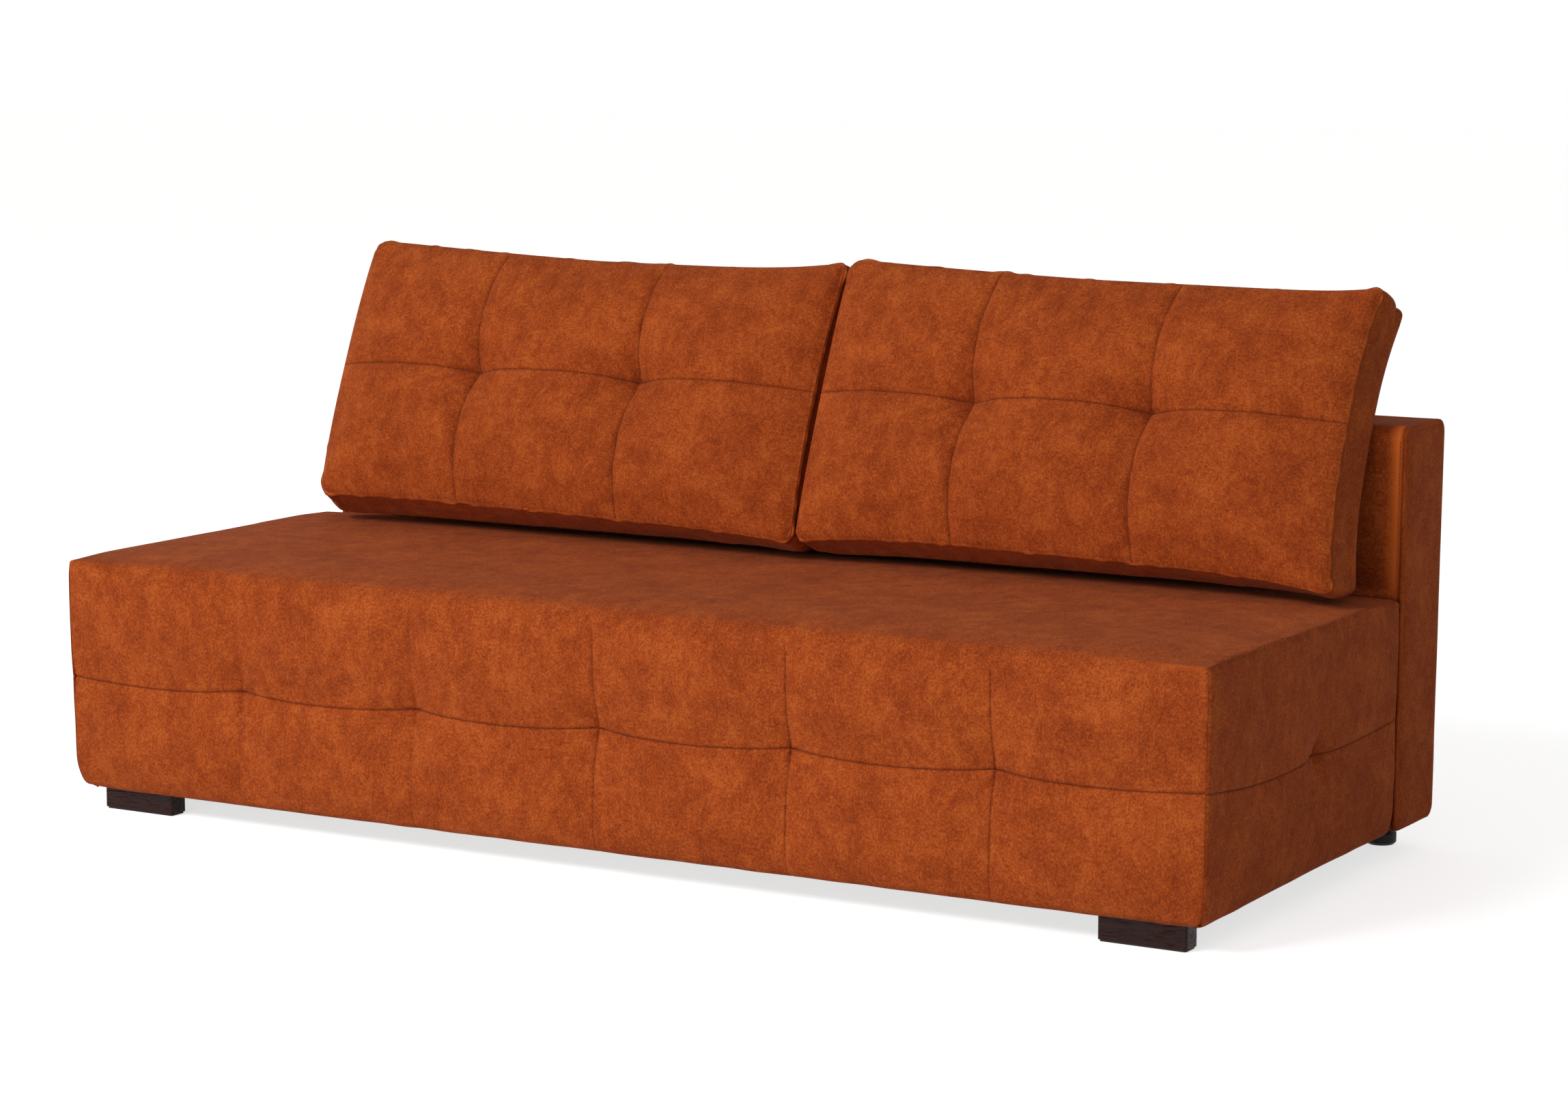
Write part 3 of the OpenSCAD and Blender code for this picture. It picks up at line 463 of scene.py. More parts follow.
def gathered(dx, dz, turn, wide_share, wide, narrow, folds, fold_reach, ripple, ripple_at, ripple_reach):
    """Round a tuft: the well that it draws in, the folds running into that, and the ripple about it."""
    r = np.sqrt(dx * dx + dz * dz) + 1e-6
    angle = np.arctan2(dz, dx)
    well = wide_share * bell(r, wide) + (1 - wide_share) * fade(r, narrow)
    fold = 1 + folds * np.cos(4 * angle) * smooth(1 - r / fold_reach)
    return well, fold, ripple * np.cos(7 * angle + turn) * bell(r - ripple_at, ripple_reach)


class Quilt:
    """How deep a quilted face lies below its crown. Places run across from 0 and up from 0, in metres."""

    def __init__(self, width, shares, seed, tuft=0.0135, reach=0.052, crease=0.0034, fill=0.0095,
                 upright=1.0):
        self.fill, self.upright = fill, upright
        self.xs = [width * share for share in (0, *shares, 1)]
        self.tuft, self.reach, self.crease = tuft, reach, crease
        rng = random.Random(seed)
        self.tufts = [(x, rng.uniform(0.92, 1.12), rng.uniform(0, 6.28)) for x in self.xs[1:-1]]

    def depth(self, x, z, seam_z):
        """Depth at a place, where the level seam lies at seam_z. The panels between seams are filled."""
        up = z - seam_z
        away = np.minimum.reduce(np.broadcast_arrays(*[np.abs(x - s) for s in self.xs]))
        full = smooth(away / PANEL_ACROSS) * smooth(np.abs(up) / PANEL_UP) * smooth(z / PANEL_LOW)
        d = -self.fill * full
        for s in self.xs[1:-1]:
            gap = np.abs(x - s)
            line = fade(gap, SHARP_CREASE) + 0.6 * bell(gap, UPRIGHT_SOFT)
            d = d + self.upright * self.crease * line * (0.08 + 0.92 * smooth(z / HEM_FREE))
        gap = np.abs(up)
        d = d + self.crease * (fade(gap, SHARP_CREASE) + 0.9 * bell(gap, LEVEL_SOFT))
        for tx, size, turn in self.tufts:
            well, fold, ripple = gathered(x - tx, up, turn, 0.60, self.reach, self.reach * 0.55,
                                          *QUILT_FOLDS, *QUILT_RIPPLE)
            d = d + self.tuft * size * well * fold + ripple
        return d

    def marks(self, x, z, seam_z):
        """How much painted seam shade lies at each place."""
        upright = np.minimum.reduce([np.abs(x - s) for s in self.xs[1:-1]])
        return np.maximum(UPRIGHT_SEAM_SHADOW * seam_shadow_line(upright), seam_shadow_line(np.abs(z - seam_z)))


def outward_normals(grid, flip=False):
    """Unit normals of a sheet of points[i][j], towards the side where i to j turns anticlockwise."""
    n = unit(np.cross(np.gradient(grid, axis=0), np.gradient(grid, axis=1)), 1e-12)
    return -n if flip else n


def shell(patch, grid, uv, thickness, flip=False):
    """A closed sheet of cloth and wadding: the grid, the same grid set in, and a band round the rim."""
    inner = grid - outward_normals(grid, flip) * thickness
    outside = patch.grid(grid, uv, flip)
    inside = patch.grid(inner, uv, not flip)
    ring_out, places = rim(outside)
    ring_in, _ = rim(inside)
    edge_uv = [tuple(uv[p]) for p in places]
    if flip:
        patch.band(ring_out, ring_in, edge_uv, edge_uv)
    else:
        patch.band(ring_in, ring_out, edge_uv, edge_uv)


def rounding(t, r):
    """How far a surface falls at distance t from an edge rounded with radius r."""
    gap = np.clip(r - t, 0, r)
    return r - np.sqrt(np.maximum(r * r - gap * gap, 0))


# Seat upholstery: one cover over front and top, and one at each end, sewn together at the edges

LOW_R = 0.012
FRONT_TOP_R = 0.034
CORNER_TOP_R = 0.007
REAR_R = 0.018
TUCK = 0.013
TUCK_SHARE = 0.14
END_TUCK = 0.010
END_LOW_R = 0.014
SEAM_SHARE, SEAM_SLOPE = 0.485, 0.020
SEAM_HANG = 0.008
FRONT_PANELS = 6
SIDE_TUFT_SHARE = 0.567
SIDE_TUFT_DROP = 0.014
SIDE_HANG = (0.011, 0.004)
HEM, HEM_SLOPE = 0.0095, 0.0020
LEFT_BULGE, RIGHT_BULGE = 0.0085, 0.0030
END_LIFT, MIDDLE_LIFT = 0.0035, 0.0040
EDGE_PULL, PULL_REACH = 0.0016, 0.05
TURNED_CLOTH = 0.014
SEAT_H = SEAT_TOP - LOWER_EDGE
SHELL_T = 0.0028
MOST_DEEP = FRONT_PAD_BACK - FRONT_Y - 0.3 * MM


def arc_steps(count):
    return np.radians(np.linspace(0, 90, count))


def seam_height(x):
    """Height of the level seam above the lower edge. It rises a little from left to right
    and hangs between the tufts."""
    panel = FRONT_PANELS * (x + END_X) / (2 * END_X)
    hang = SEAM_HANG * (0.4 - np.abs(np.sin(math.pi * panel)))
    return SEAT_H * (SEAM_SHARE + SEAM_SLOPE * x / END_X) + hang


def side_seam_drop(depth):
    """How far the end's level seam lies below its height at the front corner, by share of the depth."""
    before = depth < SIDE_TUFT_SHARE
    part = np.where(before, depth / SIDE_TUFT_SHARE, (depth - SIDE_TUFT_SHARE) / (1 - SIDE_TUFT_SHARE))
    hang = np.where(before, SIDE_HANG[0], SIDE_HANG[1]) * np.abs(np.sin(math.pi * part))
    chord = np.where(before, part * SIDE_TUFT_DROP, SIDE_TUFT_DROP * (1 - 0.5 * part))
    return hang + chord


def hem_drop(x, y, z):
    """How far the cover's lower edge hangs below the frame's, most at the left and at the front."""
    low = 1 - smooth((z - LOWER_EDGE) / 0.12)
    return (HEM - HEM_SLOPE * x / END_X) * (1 - 0.65 * smooth((y - FRONT_Y) / 0.5)) * low


def edge_sewing(y):
    """How plainly an end's seam shows: all of it down the front, little of it along the top."""
    return 1 - 0.75 * smooth((y - FRONT_Y - 0.01) / 0.10)


def tucked(z):
    """1 at the cover's lower edge and 0 above its tucked-in part."""
    return np.clip(1 - (z - LOWER_EDGE) / SEAT_H / TUCK_SHARE, 0, 1) ** 2


def front_line(z):
    """Depth of the cover's front face at a height, without its quilting."""
    rounded = rounding(z - LOWER_EDGE, LOW_R) + rounding(SEAT_TOP - z, FRONT_TOP_R)
    return FRONT_Y + TUCK * tucked(z) + rounded


def seat_profile():
    """The cover's section: depth, height, arc length, and how much of the quilting each point takes."""
    low = LOWER_EDGE + LOW_R * (1 - np.cos(arc_steps(8)))
    seam = LOWER_EDGE + SEAM_SHARE * SEAT_H
    face = spaced([LOWER_EDGE + LOW_R, seam, SEAT_TOP - FRONT_TOP_R], 1.6 * MM, 8 * MM, 0.030)
    top_arc = SEAT_TOP - FRONT_TOP_R * (1 - np.sin(arc_steps(12)))
    heights = np.concatenate([low[:-1], face, top_arc[1:]])
    front = np.stack([front_line(heights), heights], 1)
    under = np.array([[FRONT_PAD_BACK - 0.5 * MM, LOWER_EDGE + 0.3 * MM]])
    top_y = spaced([FRONT_Y + FRONT_TOP_R, SEAT_REAR_Y - REAR_R], 12 * MM, 12 * MM, 0.1)[1:-1]
    top = np.stack([top_y, np.full(len(top_y), SEAT_TOP)], 1)
    turn = arc_steps(8)
    rear_arc = np.stack([SEAT_REAR_Y - REAR_R * (1 - np.sin(turn)),
                         SEAT_TOP - REAR_R * (1 - np.cos(turn))], 1)
    rear = np.array([[SEAT_REAR_Y, PAD_UNDERSIDE + 6 * MM], [SEAT_REAR_Y, PAD_UNDERSIDE + 0.3 * MM]])
    points = np.concatenate([under, front, top, rear_arc, rear])
    steps = np.linalg.norm(np.diff(points, axis=0), axis=1)
    length = np.concatenate([[0], np.cumsum(steps)])
    share = np.zeros(len(points))
    share[1:1 + len(heights)] = smooth((SEAT_TOP - 0.016 - heights) / 0.030)
    return points, length, share


PROFILE, PROFILE_V, PROFILE_SHARE = seat_profile()
FRONT_EDGE_R = 0.010
TOP_EDGE_R = 0.012
SEAM_DIP, DIP_REACH = 0.0016, 2.0 * MM


def fitted_profile(x):
    """The section at a place along the seat: its front top edge tightens towards both ends,
    its level seam keeps its height there, and its top crowns."""
    y, z = PROFILE[None, :, 0], PROFILE[None, :, 1]
    away = (END_X - np.abs(x))[:, None]
    radius = CORNER_TOP_R + (FRONT_TOP_R - CORNER_TOP_R) * smooth(away / 0.20)
    seam = LOWER_EDGE + SEAM_SHARE * SEAT_H
    seam_here = LOWER_EDGE + seam_height(x)[:, None]
    low_share = np.clip((z - LOWER_EDGE - LOW_R) / (seam - LOWER_EDGE - LOW_R), 0, 1)
    face_top, face_top_here = SEAT_TOP - FRONT_TOP_R, SEAT_TOP - radius
    high_share = (z - seam) / (face_top - seam)
    fit_z = np.where(z <= seam, z + low_share * (seam_here - seam),
                     seam_here + high_share * (face_top_here - seam_here))
    arc = (z > face_top) & (y < FRONT_Y + FRONT_TOP_R + 1e-6)
    fit_z = np.where(arc, SEAT_TOP + (z - SEAT_TOP) * radius / FRONT_TOP_R, fit_z)
    fit_y = np.where(arc, FRONT_Y + (y - FRONT_Y) * radius / FRONT_TOP_R, y)
    along = (y - FRONT_Y - FRONT_TOP_R) / (SEAT_REAR_Y - REAR_R - FRONT_Y - FRONT_TOP_R)
    top = (along > 0) & (z > SEAT_TOP - 1e-6)
    top_y = FRONT_Y + radius + along * (SEAT_REAR_Y - REAR_R - FRONT_Y - radius)
    fit_y = np.where(top, top_y, fit_y)
    fit_z = np.where(y > SEAT_REAR_Y - REAR_R - 1e-6, z, fit_z)
    fit_z = np.where(top, SEAT_TOP, fit_z)
    rows = np.arange(len(PROFILE))[None, :]
    fit_z = np.where(rows == 0, z, fit_z)
    lift = top_lift(x[:, None], fit_y) * smooth((fit_z - SEAT_TOP + 0.04) / 0.04)
    return fit_y, fit_z + lift


def edge_radius(depth):
    """Radius of the cover's end edge, small at the front and a little wider along the top."""
    return FRONT_EDGE_R + (TOP_EDGE_R - FRONT_EDGE_R) * smooth((depth - FRONT_Y) / 0.12)


def seam_inset(r):
    """Where two faces rounded alike meet, as a distance from either."""
    return r * (1 - math.sqrt(0.5))


seat_noise = Noise(11)


def top_lift(x, y):
    """How far the filled seat crowns above its flat height: a little at its ends, more between them."""
    inside = smooth((END_X - np.abs(x)) / 0.10)
    rise = smooth((y - FRONT_Y) / 0.10)
    fall = smooth((SEAT_REAR_Y - y) / 0.10)
    return (END_LIFT + MIDDLE_LIFT * inside) * rise * (0.15 + 0.85 * fall)


def end_bulge(side, z):
    """How far a filled end stands out past the frame's length."""
    t = np.clip((z - LOWER_EDGE) / SEAT_H, 0, 1)
    most = LEFT_BULGE if side < 0 else RIGHT_BULGE
    upper = 0.65 + 0.35 * smooth((t - 0.45) / 0.3)
    edge = 1 - 0.35 * smooth((t - 0.92) / 0.08)
    return most * smooth(t / 0.55) * upper * edge


def top_waves(x, y):
    """Slight unevenness of the seat's top, which stays level under the cushions."""
    free = smooth((CUSHION_FRONT - y) / 0.06)
    waves = 0.5 + 0.5 * seat_noise(x, y, 0.0, 0.16)
    fine = 0.5 + 0.5 * seat_noise(x, y, 3.0, 0.05)
    return free * (0.0016 * waves + 0.0004 * fine)


def end_tuck(z):
    """How far an end turns in at its lower edge."""
    return END_TUCK * tucked(z) + rounding(z - LOWER_EDGE, END_LOW_R)


def cover_piece(name, grid, uv, seam_shadow, nodes, flip=False):
    """One of the seat's covers, from its outer sheet and how much painted seam shade lies at each place.
    """
    patch = Patch()
    shell(patch, grid, uv, SHELL_T, flip)
    cover = patch.object(name)
    # Painted shade along the seams, on the outer sheet only
    mark(cover, "seam", np.concatenate([seam_shadow.ravel(), np.zeros(seam_shadow.size)]))
    upholster(cover, "seat", nodes)


def seat_cover():
    quilt = Quilt(2 * END_X, [i / FRONT_PANELS for i in range(1, FRONT_PANELS)], 3)
    columns = spaced([x - END_X for x in quilt.xs], 1.5 * MM, 9 * MM, 0.030)
    py, pz = fitted_profile(columns)
    iy, iz = np.gradient(pz, axis=1), -np.gradient(py, axis=1)
    length = np.maximum(np.hypot(iy, iz), 1e-9)
    iy, iz = iy / length, iz / length
    r = edge_radius(py)
    t0 = seam_inset(r)
    x = columns[:, None] * (END_X - t0) / END_X
    t = END_X - np.abs(x)
    sewing = edge_sewing(py)
    drop = rounding(t, r) + SEAM_DIP * sewing * fade(t - t0, DIP_REACH)
    drop = drop + EDGE_PULL * fade(t, PULL_REACH)
    drop = drop + quilt.depth(x + END_X, pz - LOWER_EDGE, seam_height(x)) * PROFILE_SHARE[None, :]
    level = iz < -0.9
    drop = drop + np.where(level, top_waves(x, py), 0)
    drop = drop + 0.0005 * (1 + seat_noise(x, pz, 9.0, 0.045)) * PROFILE_SHARE[None, :]
    face = PROFILE_SHARE[None, :] > 0.5
    drop = np.where(face, np.minimum(drop, MOST_DEEP - SHELL_T), drop)
    y, z = py + iy * drop, pz + iz * drop
    turned_in = end_tuck(pz)
    for side in (-1, 1):
        end = smooth((side * x - END_X + 0.16) / 0.16)
        x = x + side * (end_bulge(side, z) * end - turned_in * end ** 4)
    z[:, 1:] -= hem_drop(x, y, z)[:, 1:]
    grid = np.stack([x, y, z], -1)
    uv = np.stack([x, np.broadcast_to(PROFILE_V[None, :], x.shape)], -1)
    # Painted shade along the quilting seams and the end seams
    seam_shadow = quilt.marks(columns[:, None] + END_X, pz - LOWER_EDGE, seam_height(x))
    seam_shadow = np.maximum(seam_shadow * PROFILE_SHARE[None, :], sewing * seam_shadow_line(t - t0))
    cover_piece("seat_cover", grid, uv, seam_shadow, ["seat_top_pad", "front_pad"])


def distance_to(points, y, z):
    """Distance from each place to a line of points in depth and height."""
    a, b = points[:-1], points[1:]
    d = b - a
    p = np.stack([y, z], -1)[..., None, :]
    t = np.clip(((p - a) * d).sum(-1) / np.maximum((d * d).sum(-1), 1e-15), 0, 1)
    near = a + t[..., None] * d
    return np.sqrt(((p - near) ** 2).sum(-1)).min(-1)


def side_cover(side, name, node):
    """The cover at one end. Its seam follows the other cover's section."""
    py, pz = fitted_profile(np.array([side * END_X]))
    section = np.stack([py[0], pz[0]], 1)
    inward = unit(np.stack([np.gradient(section[:, 1]), -np.gradient(section[:, 0])], 1))
    inset = seam_inset(edge_radius(section[:, 0]))[:, None]
    before_rear = int(np.argmax(section[1:, 0] > SEAT_REAR_Y - REAR_R - 1 * MM)) + 2
    seam_part = section[1:before_rear]
    seam = (section + inward * inset)[1:-3]
    seam_z, seam_y = seam[:, 1], seam[:, 0]
    rise = int(np.argmax(seam_z))
    top_edge = seam_z.max() - 0.05 * MM
    # Rows by height: even round the edges, fine at the seam
    low = LOWER_EDGE + END_LOW_R * (1 - np.cos(arc_steps(8)))
    level_seam = float(seam_height(side * END_X))
    middle = LOWER_EDGE + level_seam
    face = spaced([LOWER_EDGE + END_LOW_R, middle, SEAT_TOP - FRONT_TOP_R], 1.6 * MM, 8 * MM, 0.030)
    face_top = SEAT_TOP - FRONT_TOP_R
    high = face_top + (top_edge - face_top) * np.sin(arc_steps(14))
    rows = np.concatenate([low[:-1], face, high[1:]])
    y_front = np.interp(rows, seam_z[:rise + 1], seam_y[:rise + 1])
    y_rear = SEAT_REAR_Y - rounding(SEAT_TOP - rows, REAR_R)
    w = SEAT_REAR_Y - FRONT_Y
    quilt = Quilt(w, [SIDE_TUFT_SHARE], 8 + side, tuft=0.013, reach=0.030, crease=0.0026, fill=0.002,
                  upright=0)
    across = spaced(quilt.xs, 1.6 * MM, 9 * MM, 0.030) / w
    turn = (1 - np.cos(arc_steps(8))) * END_LOW_R / w
    across = np.concatenate([across[across < 1 - END_LOW_R / w - 1e-4], 1 - turn[::-1]])
    y = y_front[None, :] + across[:, None] * (y_rear - y_front)[None, :]
    share_up = (rows - LOWER_EDGE) / (middle - LOWER_EDGE)
    share_down = (SEAT_TOP - rows) / (SEAT_TOP - middle)
    hang = side_seam_drop((y - FRONT_Y) / w)
    z = rows[None, :] - hang * np.clip(np.minimum(share_up, share_down), 0, 1)[None, :]
    # The top of the end follows the crowned seam line behind the front edge
    line = np.interp(y, seam_y[rise:], seam_z[rise:])
    room = np.clip((line - face_top) / (top_edge - face_top), 0, 1)
    z = np.where(z > face_top, face_top + (z - face_top) * room, z)
    r = edge_radius(y)
    t_seam = distance_to(seam_part, y, z)
    rear_line = np.array([[SEAT_REAR_Y, SEAT_TOP - REAR_R], [SEAT_REAR_Y, LOWER_EDGE]])
    low_line = np.array([[FRONT_Y, LOWER_EDGE], [SEAT_REAR_Y, LOWER_EDGE]])
    t_rear, t_low = distance_to(rear_line, y, z), distance_to(low_line, y, z)
    sewing = edge_sewing(y)
    seam_drop = rounding(t_seam, r) + SEAM_DIP * sewing * fade(t_seam - seam_inset(r), DIP_REACH)
    rear_drop, low_drop = rounding(t_rear, END_LOW_R), rounding(t_low, END_LOW_R)
    drop = np.sqrt(seam_drop ** 2 + rear_drop ** 2 + low_drop ** 2) + END_TUCK * tucked(z)
    inside = smooth(t_seam / 0.05) * smooth(t_rear / 0.05) * smooth((z - LOWER_EDGE) / 0.02)
    seam_line = level_seam - hang
    drop = drop + quilt.depth(y - FRONT_Y, z - LOWER_EDGE, seam_line) * (0.25 + 0.75 * inside)
    drop = drop + 0.0006 * (1 + seat_noise(y, z, 20.0 + side, 0.05))
    thick = SIDE_PAD_BACK + 0.3 * MM
    x = np.maximum(END_X - drop, thick) + end_bulge(side, z)
    # The cloth turns round the rear edge and the lower edge, back to the board
    rear_column = np.stack([np.full(len(rows), thick), y[-1], z[-1]], -1)[None]
    grid = np.concatenate([np.stack([x, y, z], -1), rear_column], 0)
    low_row = grid[:, :1].copy()
    low_row[:, :, 0] = thick
    grid = np.concatenate([low_row, grid], 1)
    uv = grid[..., 1:3].copy()
    uv[-1, :, 0] += TURNED_CLOTH
    uv[:, 0, 1] -= TURNED_CLOTH
    if side < 0:
        grid[..., 0] *= -1
    grid[:, 1:, 2] -= hem_drop(*np.moveaxis(grid, 2, 0))[:, 1:]
    # Painted shade along the level seam and the end seam
    seam_shadow = np.zeros(grid.shape[:2])
    seam_shadow[:-1, 1:] = np.maximum(seam_shadow_line(z - LOWER_EDGE - seam_line),
                               sewing * seam_shadow_line(t_seam - seam_inset(r)))
    cover_piece(name, grid, uv, seam_shadow, [node], flip=side < 0)


# Back panel

BACK_R = 0.022
BACK_END_START = 0.915
BACK_FULL = (0.008, 0.015)
BACK_EDGE_SHARE = 0.36
BACK_TOP_FULL = 0.013
BACK_SEAM_IN = BACK_R + 0.5 * MM
BACK_SEAM_DEEP, BACK_SEAM_REACH = 0.0022, 0.0020
STITCH_IN = 0.004
# Width of the painted highlight just inside the back's front seams
EDGE_HIGHLIGHT_REACH = 0.026
STITCH_STEP = 0.0058
STITCH_SIDES = 6
STITCH_RINGS = ((-0.0021, 0.0003), (-0.0015, 0.0007), (0.0, 0.0009), (0.0015, 0.0007), (0.0021, 0.0003))
BACK_IN = 0.005
BACK_WAVE, BACK_FINE_WAVE = 0.0009, 0.0004
BACK_WALL = 0.012
SLOT_IN, SLOT_OUT = 0.887, 0.910
SLOT_FRONT_TOP, SLOT_REAR_TOP = 0.109, 0.1786
SLOT_SLOPE = math.tan(math.radians(38.529))
SLOT_PAST = 0.01
hinge = frame["joints"][[j["name"] for j in frame["joints"]].index("back_pivot")]["pos_m"]


def rounded_box(low, high, r, coarse, stops=()):
    """A box with rounded edges, finer near the given places along X: points, faces and UVs in metres."""
    low, high = np.array(low, float), np.array(high, float)
    patch = Patch()
    lines = []
    for a in range(3):
        arc = np.tan(np.radians(np.linspace(45, 0, 6)))[:-1] * r
        between, fine = (stops, 2 * MM) if a == 0 and stops else ((), coarse)
        inner = spaced([low[a] + r, *between, high[a] - r], fine, coarse, 0.03)
        lines.append(np.concatenate([low[a] + r - arc, inner, (high[a] - r + arc)[::-1]]))
    for a in range(3):
        b, c = (a + 1) % 3, (a + 2) % 3
        for top in (False, True):
            q = np.zeros((len(lines[b]), len(lines[c]), 3))
            q[..., a] = high[a] if top else low[a]
            q[..., b] = lines[b][:, None]
            q[..., c] = lines[c][None, :]
            core = np.clip(q, low + r, high - r)
            d = q - core
            p = core + r * d / np.maximum(np.linalg.norm(d, axis=-1, keepdims=True), 1e-9)
            uv = np.stack([q[..., b], q[..., c]], -1) if a != 1 else np.stack([q[..., c], q[..., b]], -1)
            patch.grid(p, uv, flip=not top)
    return patch


def weld(obj, gap=0.02 * MM):
    bm = bmesh.new()
    bm.from_mesh(obj.data)
    bmesh.ops.remove_doubles(bm, verts=bm.verts, dist=gap)
    bm.to_mesh(obj.data)
    bm.free()


def cut(obj, cutters):
    """Takes the cutters' space out of obj, for good."""
    for c in cutters:
        m = obj.modifiers.new("cut", "BOOLEAN")
        m.operation, m.solver, m.object = "DIFFERENCE", "EXACT", c
    apply_modifiers(obj)
    for c in cutters:
        bpy.data.objects.remove(c)


def prism(name, outline, x0, x1):
    """A flat outline in depth and height, drawn out along X."""
    n = len(outline)
    points = [(x, y, z) for x in (x0, x1) for y, z in outline]
    faces = [list(range(n))[::-1], list(range(n, 2 * n))]
    faces += [[k, (k + 1) % n, n + (k + 1) % n, n + k] for k in range(n)]
    return new_mesh(name, points, faces, smooth_shade=False)


def stitches(name, places):
    """Upright stitches, each a small rounded bead of thread half sunk in the cloth."""
    points, faces = [], []
    for x, y, z in places:
        start = len(points)
        for height, radius in STITCH_RINGS:
            for k in range(STITCH_SIDES):
                a = 2 * math.pi * k / STITCH_SIDES
                points.append((x + radius * math.cos(a), y + radius * math.sin(a), z + height))
        last = len(points) - STITCH_SIDES
        for a in range(start, last, STITCH_SIDES):
            for k in range(STITCH_SIDES):
                m, b = (k + 1) % STITCH_SIDES, a + STITCH_SIDES
                faces.append((a + k, a + m, b + m, b + k))
        faces.append(tuple(range(start + STITCH_SIDES - 1, start - 1, -1)))
        faces.append(tuple(range(last, last + STITCH_SIDES)))
    thread = new_mesh(name, points, faces)
    thread.data.materials.append(THREAD)
    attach(thread, "back")


def back_cover():
    seam_x = back_high.x - BACK_SEAM_IN
    patch = rounded_box(back_low, back_high, BACK_R, 12 * MM, [-seam_x, seam_x])
    points = np.array(patch.points)
    noise = Noise(21)
    x, y, z = points.T
    waves = BACK_WAVE * (1 + noise(x, y, z, 0.11))
    fine = BACK_FINE_WAVE * (1 + noise(x + 5, y, z, 0.035))
    front = points[:, 1] < back_low.y + 0.5 * MM
    gap = np.abs(np.abs(points[:, 0]) - seam_x)
    seam = np.where(front, BACK_SEAM_DEEP * fade(gap, BACK_SEAM_REACH), 0)
    core = np.clip(points, np.array(back_low) + BACK_R, np.array(back_high) - BACK_R)
    points = points - unit(points - core) * (waves + fine + seam)[:, None]
    # The right end is full and square, and the left end, behind the cushion, lies a little in
    up = np.clip((points[:, 2] - back_low.z) / (back_high.z - back_low.z), 0, 1)
    right = smooth((points[:, 0] - BACK_END_START) / (back_high.x - BACK_END_START))
    left = smooth((-points[:, 0] - BACK_END_START) / (back_high.x - BACK_END_START))
    away = back_high.x - np.abs(points[:, 0])
    tighter = smooth(away / BACK_R) * smooth((back_high.x - BACK_END_START - away) / 0.05)
    points[:, 0] += (points[:, 0] > 0) * tighter * BACK_R * (1 - BACK_EDGE_SHARE)
    points[:, 2] += BACK_TOP_FULL * smooth((up - 0.8) / 0.2) * (1 - left)
    points[:, 0] += right * (BACK_FULL[0] + (BACK_FULL[1] - BACK_FULL[0]) * up)
    points[:, 0] += left * BACK_IN
    patch.points = [tuple(p) for p in points]
    cover = patch.object("back_upholstery")
    weld(cover)
    low, high = np.array(back_low) + BACK_WALL, np.array(back_high) - BACK_WALL
    hollow = rounded_box(low, high, 1 * MM, 200 * MM).object("hollow")
    weld(hollow)
    y0, y1, z0 = back_low.y - SLOT_PAST, back_high.y + SLOT_PAST, back_low.z - SLOT_PAST
    outline = [(y0, z0), (y1, z0), (y1, SLOT_REAR_TOP + SLOT_PAST * SLOT_SLOPE),
               (hinge[1], SLOT_FRONT_TOP), (y0, SLOT_FRONT_TOP)]
    ends = ((-SLOT_OUT, -SLOT_IN), (SLOT_IN, SLOT_OUT))
    cut(cover, [hollow, *[prism("slot", outline, *end) for end in ends]])
    done = read(cover.data.vertices, "co", 3)
    rows = points[front & (gap < 0.2 * MM)]
    rows = rows[np.argsort(rows[:, 2])]
    left_row, right_row = rows[rows[:, 0] < 0], rows[rows[:, 0] > 0]
    inside = np.minimum(done[:, 0] - np.interp(done[:, 2], left_row[:, 2], left_row[:, 0]),
                        np.interp(done[:, 2], right_row[:, 2], right_row[:, 0]) - done[:, 0])
    on_front = done[:, 1] < back_low.y + BACK_R * 0.9
    # Painted shade along the front seams, and a painted highlight just inside them, where the nap catches
    # light in the cushion's shadow
    mark(cover, "seam", seam_shadow_line(inside) * on_front)
    edge_highlight = smooth((inside + 1 * MM) / 0.003) * (1 - smooth((inside - 0.002) / EDGE_HIGHLIGHT_REACH))
    mark(cover, "painted_highlight", edge_highlight * on_front * smooth((done[:, 2] - SEAT_TOP + 0.02) / 0.06))
    beside_groove = BACK_SEAM_DEEP * (1 - math.exp(-STITCH_IN / BACK_SEAM_REACH))
    heights = np.arange(SEAT_TOP - 0.05, back_high.z - 0.010, STITCH_STEP)
    places = []
    for row, inward in ((left_row, STITCH_IN), (right_row, -STITCH_IN)):
        across = np.interp(heights, row[:, 2], row[:, 0]) + inward
        depth = np.interp(heights, row[:, 2], row[:, 1]) - beside_groove
        places += zip(across, depth, heights)
    stitches("back_stitching", places)
    upholster(cover, "back", ["back_cover"])


# Loose cushions

BAND, BAND_SWELL = 0.098, 0.0075
TILT = math.radians(22.8)
FOOT_LIFT = 0.0045
REAR_CROWN = 0.007
CORNER_ROUND = 0.008
NOTCH, NOTCH_SHARE, NOTCH_WIDE = 0.014, 0.72, 0.030
REST_GAP = 0.0003
FOOT_Z = SEAT_TOP + REST_GAP + FOOT_LIFT
